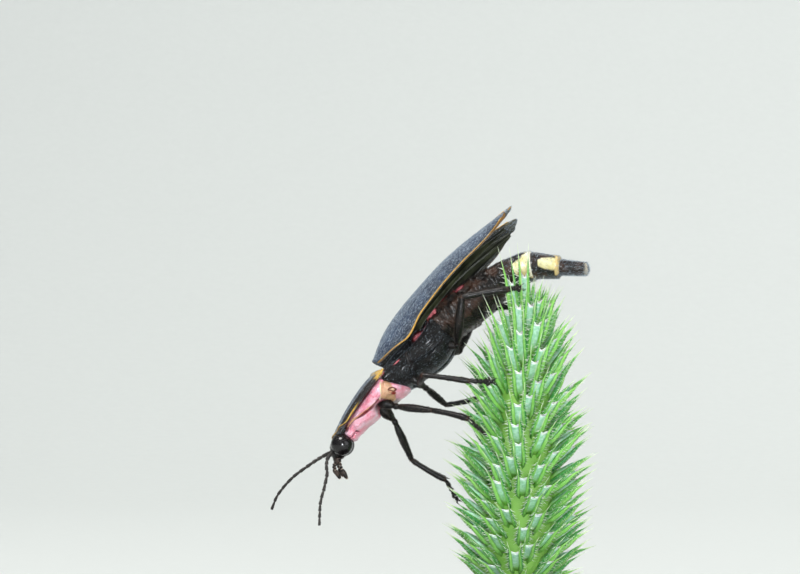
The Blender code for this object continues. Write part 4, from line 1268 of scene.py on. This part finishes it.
class Recipe(Tree):
    """The node tree of a modifier, with an input for each name."""

    def __init__(self, name, finish, **inputs):
        super().__init__(bpy.data.node_groups.new(name, "GeometryNodeTree"))
        face, self.coat = self.tree.interface, finish
        for way in ("INPUT", "OUTPUT"):
            face.new_socket("Geometry", in_out=way, socket_type="NodeSocketGeometry")
        self.sockets = {}
        for label, kind in {"Part": "Object", "Seed": "Int", **inputs}.items():
            socket = face.new_socket(label, in_out="INPUT", socket_type=f"NodeSocket{kind}")
            self.sockets[label] = socket.identifier
        self.start, self.end = self.make("NodeGroupInput"), self.make("NodeGroupOutput")

    def open(self, kind, values=None, outs=(0,), **settings):
        """A node whose sockets depend on its settings, with values for the ones in use."""
        node = self.make(kind, **settings)
        for label, value in (values or {}).items():
            plug(self.tree, [s for s in node.inputs if s.name == label and s.enabled][0], value)
        made = [Wire(self, [s for s in node.outputs if s.enabled][k]) for k in outs]
        return made if len(made) > 1 else made[0]

    def input(self, label):
        return Wire(self, self.start.outputs[label])

    def named(self, label, kind="FLOAT"):
        return self.open("GeometryNodeInputNamedAttribute", {"Name": label}, data_type=kind)

    def store(self, geometry, label, value, kind="FLOAT", domain="POINT"):
        values = {"Geometry": geometry, "Name": label, "Value": value}
        return self.open("GeometryNodeStoreNamedAttribute", values, data_type=kind, domain=domain)

    def chance(self, low, high, seed):
        """A random number for each element."""
        values = {"Min": low, "Max": high, "Seed": seed}
        return self.open("FunctionNodeRandomValue", values, data_type="FLOAT")

    def three(self, x, y, z=0.0):
        return self.node("ShaderNodeCombineXYZ", {0: x, 1: y, 2: z})

    def scaled(self, vector, size):
        return self.node("ShaderNodeVectorMath", {0: vector, "Scale": size}, operation="SCALE")


print("a recipe can", [name for name in vars(Recipe) if name[0] != "_"])


# %% A recipe that plants a part on points
class Planting(Recipe):
    def scatter(self, points, turn, size, patches=True):
        """Sets the part on each point, makes all real, gives each strand its patch and ends."""
        shape = self.node("GeometryNodeObjectInfo", {"Object": self.input("Part")}, "Geometry")
        values = {"Points": points, "Instance": shape, "Rotation": turn, "Scale": size}
        made = self.node("GeometryNodeInstanceOnPoints", values)
        if patches:
            real = self.node("GeometryNodeRealizeInstances", {"Geometry": made})
            seat = self.three(self.named("SeatAcross"), self.named("SeatUp"))
            patch = self.vector("ADD", seat, self.scaled(self.named("Strand", VECTOR), STRAND_PATCH))
            spot = self.vector("ADD", self.named("Root", VECTOR), patch)
            made = self.store(real, "OFBake", spot, "FLOAT2", "CORNER")
        real = self.node("GeometryNodeRealizeInstances", {"Geometry": made})
        values = {"Geometry": real, "Material": self.coat.material}
        plug(self.tree, self.end.inputs["Geometry"], self.node("GeometryNodeSetMaterial", values))
        return self

    def grow(self, name, carrier, part, slot, *nodes, **values):
        """The plain piece that this recipe makes on a carrier mesh."""
        host, helper = put(name, carrier), put("part", part)
        change = host.modifiers.new(name, "NODES")
        change.node_group = self.tree
        for label, value in {"Part": helper, **values}.items():
            change[self.sockets[label]] = value
        graph = bpy.context.evaluated_depsgraph_get()
        mesh = bpy.data.meshes.new_from_object(host.evaluated_get(graph))
        for thing in (host, helper):
            bpy.data.objects.remove(thing)
        mesh.shade_smooth()
        return piece(name, mesh, self.coat, slot, *nodes)


print("a planting also can", [name for name in vars(Planting) if name[0] != "_"])

# %% [markdown]
# ## The seed head
#
# The perch is the flower spike of a meadow grass, a soft cylinder of spikelets in a spiral. A
# spikelet is a flat purse between two green keels that run on into stiff bristles, and its pale
# skin ends in a notch with a white rim. Real ones follow the golden angle, and so do these: the
# number of a spikelet gives its turn, its height and its tilt.

# %% Shape one spikelet
PURSE_LENGTH, PURSE_HALF, AWN, NOTCH = 2.2, 0.33, 1.2, 0.3
PURSE_PLACES = [0.0, 0.3, 0.86, 1.0, 0.8]  # the last row turns in, so that the mouth is open
PURSE_WIDTHS = [0.55, 0.98, 0.97, 0.94, 0.7]
PURSE_DEPTHS = [0.22, 0.34, 0.18, 0.1, 0.06]
NOTCH_LINE = [(-1, 0), (-0.6, 0.84), (0, 1), (0.6, 0.84), (1, 0)]
KEEL_PLACES = np.array([0.0, 0.3, 0.7, 1.0, 1.2, 1.5])
KEEL_THICK = 0.125 * np.array([0.8, 1.15, 1.1, 0.7, 0.26, 0.05])
KEEL_DEEP = 0.15 * np.array([0.8, 1.1, 1.0, 0.6, 0.22, 0.04])
KEEL_SIDES = 4


def keel_path(side, s):
    """Points of one keel and of the bristle that it runs on into."""
    over = np.clip(s - 1, 0, 1)
    x = side * (PURSE_HALF * np.interp(s, PURSE_PLACES[:4], PURSE_WIDTHS[:4]) + over * 0.22)
    y = 0.06 + 0.06 * np.sin(math.pi * np.clip(s, 0, 1)) + over * 0.2
    return np.stack([x, y, PURSE_LENGTH * np.clip(s, 0, 1) + over * AWN / 0.5], -1)


def spikelet_mesh():
    """One spikelet: up is +Z, and the side that faces out is +Y."""
    rows = []
    for k, (share, width, deep) in enumerate(zip(PURSE_PLACES, PURSE_WIDTHS, PURSE_DEPTHS)):
        bulge = 0.07 * math.sin(math.pi * share**0.7) if k < 4 else -0.04
        row = [(x * PURSE_HALF * width, bulge * (1 - x * x), PURSE_LENGTH * share - NOTCH * dip * share**8)
               for x, dip in NOTCH_LINE]
        rows.append(row + [(0, -deep, row[2][2])])
    still = np.zeros((len(rows), len(NOTCH_LINE) + 1))  # the purse is no keel
    tall = np.array(PURSE_PLACES)[:, None] + still
    meshes = [hoop_mesh(rows, PURSE_PLACES, Keel=still, Outer=still, Tall=tall)]
    still = np.zeros((len(KEEL_PLACES), KEEL_SIDES))
    for side in (1, -1):
        path = keel_path(side, KEEL_PLACES)
        rings = tube_rings(path, KEEL_THICK, KEEL_DEEP / KEEL_THICK, KEEL_SIDES, (1, 0, 0))
        # the side of each keel that looks away from the purse is kept, to be painted darker as shade
        keel_shade_side = still + 0.5 + 0.5 * side * np.cos(turns_of(KEEL_SIDES))
        numbers = {"Keel": still + 1, "Outer": keel_shade_side, "Tall": KEEL_PLACES[:, None] + still}
        meshes.append(hoop_mesh(rings, KEEL_PLACES, **numbers))
    return joined(meshes)


SPIKELET = spikelet_mesh()
print("one spikelet has", len(SPIKELET.polygons), "faces")

# %% Shape the lashes of one spikelet
LASHES, LASH_LENGTH, LASH_THICK, SEAT_SCALE = 12, 0.42, 0.045, 0.02


def strands_mesh(roots, tips, thick):
    """Three-sided needles. Strand is a UV map along each, and Seat tells where its root is."""
    points, faces, corners = [], [], []
    for root, tip in zip(np.array(roots, float), np.array(tips, float)):
        way, first = unit(tip - root), len(points)
        side = unit(np.cross(way, (0.31, 0.93, 0.22)))
        points += [*(root + circle(turns_of(3), side, np.cross(way, side)) * thick / 2), tip]
        for k in range(3):
            faces.append((first + k, first + (k + 1) % 3, first + 3))
            corners += [(k / 3, 0), ((k + 1) / 3, 0), ((k + 0.5) / 3, 1)]
        faces.append((first + 2, first + 1, first))
        corners += [(1, 0), (0.5, 0), (0, 0)]
    seats = np.repeat(np.array(roots, float), 4, axis=0) * SEAT_SCALE
    mesh = mesh_from(points, faces, corners, SeatAcross=seats[:, 0], SeatUp=seats[:, 2])
    mesh.uv_layers[0].name = "Strand"
    return outwards(mesh)


def lash_comb():
    roots, tips = [], []
    for side in (1, -1):
        for k, s in enumerate(np.linspace(0.25, 1.12, LASHES)):
            way = unit((side * 1.0, 0.5 + 0.4 * math.cos(k * 1.7), 0.2 + 0.3 * math.sin(k * 2.4)))
            roots.append(keel_path(side, s))
            tips.append(roots[-1] + way * LASH_LENGTH * (1 - 0.2 * math.sin(k * 3.1)))
    return strands_mesh(roots, tips, LASH_THICK)


COMB = lash_comb()
print("its lashes have", len(COMB.polygons), "faces")

# %% Lay out the spiral
SPIKE_FOOT, SPIKE_TOP = np.array((4.62, -0.6, 5.6)), np.array((5.26, -0.6, 23.6))
NEAR_RISE = 0.6  # how much longer the spikelets in front of the abdomen grow
CORE_RADIUS = [1.45, 2.0, 2.1, 2.0, 1.85, 1.7, 1.4, 0.95, 0.35]
TILTS = [62, 56, 52, 50, 46, 41, 33, 24, 12]
SPIKELETS, GOLDEN = 210, math.radians(137.508)
spike_way = unit(SPIKE_TOP - SPIKE_FOOT)
spike_side = unit(np.cross(DEPTH, spike_way))


def spike_ring(share, angle):
    """The middle of the spike at a share of its height, and the way out at an angle."""
    return SPIKE_FOOT + (SPIKE_TOP - SPIKE_FOOT) * share[:, None], circle(angle, spike_side, DEPTH)


def beside_beetle(points, room):
    """Below 1 where a point is nearer to the trunk than its own half width and the room."""
    near = np.array([np.argmin(np.linalg.norm(BODY_AXIS.points - p, axis=1)) for p in points])
    offset, back = points - BODY_AXIS.points[near], BODY_AXIS.back[near]
    high = np.einsum("ij,ij->i", offset, np.cross(LEFT, back))
    wide, above, below = (BODY_AXIS.extra[near] + room).T
    reach = np.hypot((offset @ LEFT) / wide, high / np.where(high > 0, above, below))
    return np.where(np.abs(np.einsum("ij,ij->i", offset, back)) > 0.4, 9.0, reach)


rng = np.random.default_rng(11)
number = np.arange(SPIKELETS)
share = 0.015 + 0.975 * ((number + 0.5) / SPIKELETS) ** 1.03
angle = number * GOLDEN + rng.normal(0, 0.09, SPIKELETS)
centre, out = spike_ring(share, angle)
tilt = np.radians(smooth(TILTS, share)[:, 0] + rng.normal(0, 4.5, SPIKELETS))[:, None]
ahead, face = (spike_way * np.cos(a) + out * np.sin(a) for a in (tilt, tilt + math.pi / 2))
roots = centre + out * (smooth(CORE_RADIUS, share) - 0.25)
size = rng.uniform(0.92, 1.06, SPIKELETS) * np.interp(share, [0, 0.04, 0.94, 1], [0.8, 1, 0.98, 0.8])
near = step(share, 0.58, 0.8) * step(out @ unit((-1, -0.8, 0)), 0.2, 0.8)
length = size * (1 + NEAR_RISE * near * np.interp(share, [0, 0.9, 1], [1, 1, 0.5]))
free = np.full(SPIKELETS, 9.0)
for reach in np.arange(4.6, 0.5, -0.2):
    free[beside_beetle(roots + ahead * reach, 0.35) < 1] = reach
length = np.minimum(length, (free - 0.15) / (PURSE_LENGTH + AWN))
keep = length > 0.55
slim = size * np.interp(share, [0, 0.85, 1], [1, 1, 0.62])
high = np.stack([angle / (2 * math.pi) % 1, share, 0 * share], -1)
print("spikelets kept:", int(keep.sum()), "of", SPIKELETS)


# %% The recipe for the spikelets
def spray(name, finish, part, patches, *nodes):
    """Grows a piece that has the part on every point of the spiral."""
    sizes = np.stack([slim, slim, length], -1)
    vectors = {"Ahead": ahead, "Face": face, "Size": sizes, "Root": high}
    spiral = mesh_from(roots[keep], [], **{key: rows[keep] for key, rows in vectors.items()})
    tree = Planting(f"{name}_spray", finish, Wobble="Float")
    axes = {0: tree.named("Ahead", VECTOR), 1: tree.named("Face", VECTOR)}
    turn = tree.node("FunctionNodeAxesToRotation", axes, primary_axis="Z", secondary_axis="Y")
    nod = tree.chance(-1.0, 1.0, tree.input("Seed")) * tree.input("Wobble")
    turns = {0: turn, 1: tree.three(nod, nod * 0.5, nod)}
    turn = tree.node("FunctionNodeRotateRotation", turns, rotation_space="LOCAL")
    tinted = tree.store(tree.input("Geometry"), "Tint", tree.chance(0.0, 1.0, 8))
    tree.scatter(tinted, turn, tree.named("Size", VECTOR), patches)
    tree.grow(name, spiral, part, "seed_head", *nodes, Wobble=0.06, Seed=3)


glume = Finish("green_glume", Specular_IOR_Level=0.4, Subsurface_Weight=0.3)
glume.give(Subsurface_Radius=(0.3, 0.5, 0.15), Subsurface_Scale=0.0004)
keel, tall, tint, keel_shade_side = (glume.own(name) for name in ("Keel", "Tall", "Tint", "Outer"))
fine = glume.noise(5000, 3)
skin = glume.layers(
    (160, 212, 178), (fine.rises(0.35, 0.7), (200, 236, 218)), (tall.falls(0.1, 0.6), (140, 196, 88)),
    (tall.rises(0.92, 0.96), (252, 255, 252)))
green = glume.layers(
    # painted shade: the side of each keel away from the purse is darker green, the other side stays bright
    (150, 214, 110), (keel_shade_side.rises(0.3, 0.9), (44, 134, 66)), (tint * 0.35, (130, 190, 80)),
    (fine.rises(0.45, 0.7) * 0.4, (190, 234, 160)), (tall.rises(1.1, 1.4) * 0.9, (226, 240, 206)))
glume.wear(glume.mix(keel.rises(0.4, 0.6), skin, green), 0.34 + fine * 0.25, fine, 0.04)
lash = Finish("white_lash", Roughness=0.4)
lash.give(Base_Color=lash.mix(lash.lie("Strand")[1], (232, 244, 222), (254, 255, 252)))
spray("spikelets", glume, SPIKELET, False, "perch")
spray("spikelet_lashes", lash, COMB, True)

# %% [markdown]
# The core between the spikelets is a plain green stalk that swells into the spike. It hardly
# shows, but without it light would pass straight through the gaps.

# %% The core and the stem
STEM_RADIUS, CORE_SIDES = 0.62, 40
STEM_ROWS = [(3.92, 0.98), (3.97, 1.0), (4.4, 0.97), (4.9, 0.97), (5.35, 1.05)]
turns = turns_of(CORE_SIDES)
grooved = circle(turns, np.array((1, 0, 0)), DEPTH) * (1 + 0.03 * np.cos(turns * 10))[:, None] * STEM_RADIUS
rings = [np.array((*SPIKE_FOOT[:2], level)) + grooved * swell for level, swell in STEM_ROWS]
for place in np.linspace(0, 1, 60):
    middle, way_out = spike_ring(np.full(CORE_SIDES, place), turns)
    rings.append(middle + way_out * (smooth(CORE_RADIUS, place)[0] - 0.12))
stalk = Finish("green_stalk", Specular_IOR_Level=0.4)
mottle, fibre = stalk.noise(1200, 4), stalk.noise(9000, 2)
stalk.wear(stalk.mix(mottle, (104, 164, 62), (160, 206, 104)), 0.5 + fibre * 0.2, fibre + mottle, 0.05)
piece("spike_core", hoop_mesh(rings), stalk, "seed_head", "perch")

# %% [markdown]
# ## The stand
#
# The turned base and the short rod are right as they are. They keep their meshes and only get
# materials, a black acrylic board and brushed steel.

# %% Finish the stand
board = Finish("black_acrylic_board", Specular_IOR_Level=0.02)
grain = board.noise(1400, 5, board.vector("MULTIPLY", board.place(), (1, 0.06, 1)))
board.wear(board.mix(grain, (30, 29, 30), (50, 47, 46)), 0.75 + grain * 0.15, grain, 0.02)
steel = Finish("brushed_steel", Metallic=1.0)
hoops = steel.noise(2000, 3, steel.vector("MULTIPLY", steel.place(), (0.1, 0.1, 6)))
steel.wear(steel.mix(hoops, (176, 178, 180), (206, 208, 210)), 0.22 + hoops * 0.2, hoops, 0.01)
for name, finish in (("stand_base", board), ("stand_rod", steel)):
    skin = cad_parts[name].material_slots[0]
    skin.link, skin.material = "OBJECT", finish.material
    print(name, "wears", skin.material.name)

# %% [markdown]
# ## Hairs
#
# Fine hairs catch the light along every edge of an insect. Particle hair would be quick, but an
# export drops it. So a recipe scatters thin cones over a piece, leans them along the body and
# makes them real. Each has its own patch on a UV map called OFBake, at the place of its root.

# %% One hair and the recipe for many
HAIR = strands_mesh([(0, 0, 0)], [(0, 0, 1)], 1.0)


def hair_recipe(name, dark, light):
    """Hairs of which a few are thick and light, and each gets lighter to its tip."""
    coat = Finish(f"{name}_hair", Roughness=0.45, Specular_IOR_Level=0.3)
    lightness = coat.own("Shade") * 0.7 + coat.lie("Strand")[1] * 0.3
    coat.give(Base_Color=coat.mix(lightness, dark, light))
    inputs = dict.fromkeys(("Density", "Length", "Thick", "Stand", "Span"), "Float")
    down = Planting(f"{name}_coat", coat, Lean="Vector", **inputs)
    values = {"Mesh": down.input("Geometry"), "Seed": down.input("Seed")}
    values["Density"] = down.input("Density") * down.named("Cover")
    points, normal = down.open("GeometryNodeDistributePointsOnFaces", values, (0, 1),
                               distribute_method="RANDOM")
    shake = down.three(*(down.chance(-0.3, 0.3, seed) for seed in (5, 6, 7)))
    lean = down.vector("ADD", down.input("Lean"), shake)
    dot = down.vector("DOT_PRODUCT", lean, normal, out="Value")
    flat = down.vector("NORMALIZE", down.vector("SUBTRACT", lean, down.scaled(normal, dot)))
    way = down.vector("ADD", flat, down.scaled(normal, down.input("Stand")))
    turn = down.node("FunctionNodeAlignRotationToVector", {"Vector": way}, axis="Z")
    shade = down.chance(0.0, 1.0, 9) ** 3
    thick = down.input("Thick") * (0.7 + shade * 2.2)
    long = down.input("Length") * down.chance(0.55, 1.1, 3)
    place = down.vector("MULTIPLY", down.named("Lie", VECTOR), down.three(1.0, 1 / down.input("Span")))
    rooted = down.store(down.store(points, "Shade", shade), "Root", place, VECTOR)
    return down.scatter(rooted, turn, down.three(thick, thick, long))


print("one hair has", len(HAIR.polygons), "faces")


# %% Grow hairs on the beetle
def lie_of(mesh):
    """The Lie map at each vertex."""
    lie = np.zeros((len(mesh.vertices), 2))
    lie[read(mesh.loops, "vertex_index", 1, int)[:, 0]] = read(mesh.uv_layers["Lie"].data, "uv", 2)
    return lie


BACK = unit(BODY_AXIS.point(12.0) - BODY_AXIS.point(2.0))
dark = hair_recipe("dark", (16, 14, 13), (112, 102, 92))
pale = hair_recipe("pale", (46, 55, 72), (214, 230, 242))
BARE_EDGES = {"shield_plate": 0.82, "case_left": 0.93, "case_right": 0.93}
# carriers, recipe, hairs per square mm, length, thickness, how far they stand, lean, slot
COATS = [
    ("case_left case_right", pale, 340, 0.12, 0.013, 0.2, BACK, "wing_case"),
    ("shield_plate", pale, 260, 0.1, 0.012, 0.3, BACK, "shield"),
    ("thorax_shell", pale, 110, 0.11, 0.009, 0.3, BACK, "black_shell"),
    ("abdomen_rings", dark, 80, 0.17, 0.012, 0.45, BACK, "brown_shell"),
    ("lantern_front_ring lantern_rear_ring", pale, 90, 0.15, 0.011, 0.5, BACK, "lantern"),
    ("abdomen_tip_ring", pale, 220, 0.2, 0.012, 0.6, BACK, "brown_shell"),
    ("head_capsule", dark, 120, 0.12, 0.012, 0.7, -BACK, "black_shell"),
    ("feeler_left feeler_right", dark, 180, 0.09, 0.01, 0.5, -BACK, "black_shell"),
    ("jaws_and_palps", dark, 120, 0.07, 0.01, 0.5, -BACK, "black_shell"),
]
COATS += [(f"leg_{name}_limb", dark, 170, 0.13, 0.012, 0.5, unit(points[4] - points[0]), "black_shell")
          for name, points in LEGS.items()]
COATS = [(name, *row) for names, *row in COATS for name in names.split()]
hairs = 0
for number, (name, recipe, density, long, thick, stand, lean, slot) in enumerate(COATS):
    mesh, bare = bpy.data.objects[name].data.copy(), BARE_EDGES.get(name, 9.0)
    side, along = lie_of(mesh).T
    carry(mesh, Cover=1 - 0.85 * step(np.abs(2 * side - 1), bare - 0.04, bare))  # few past the edge
    coat = recipe.grow(
        f"{name}_hairs", mesh, HAIR, slot, Density=density * 1e6, Length=long, Thick=thick,
        Stand=stand, Lean=lean.tolist(), Span=float(max(1.0, along.max())), Seed=number)
    hairs += len(coat.data.polygons) // len(HAIR.polygons)
print("hairs on the beetle:", hairs)

# %% [markdown]
# ## The end
#
# The finer pieces are in place, and the solids that they stand for are hidden.
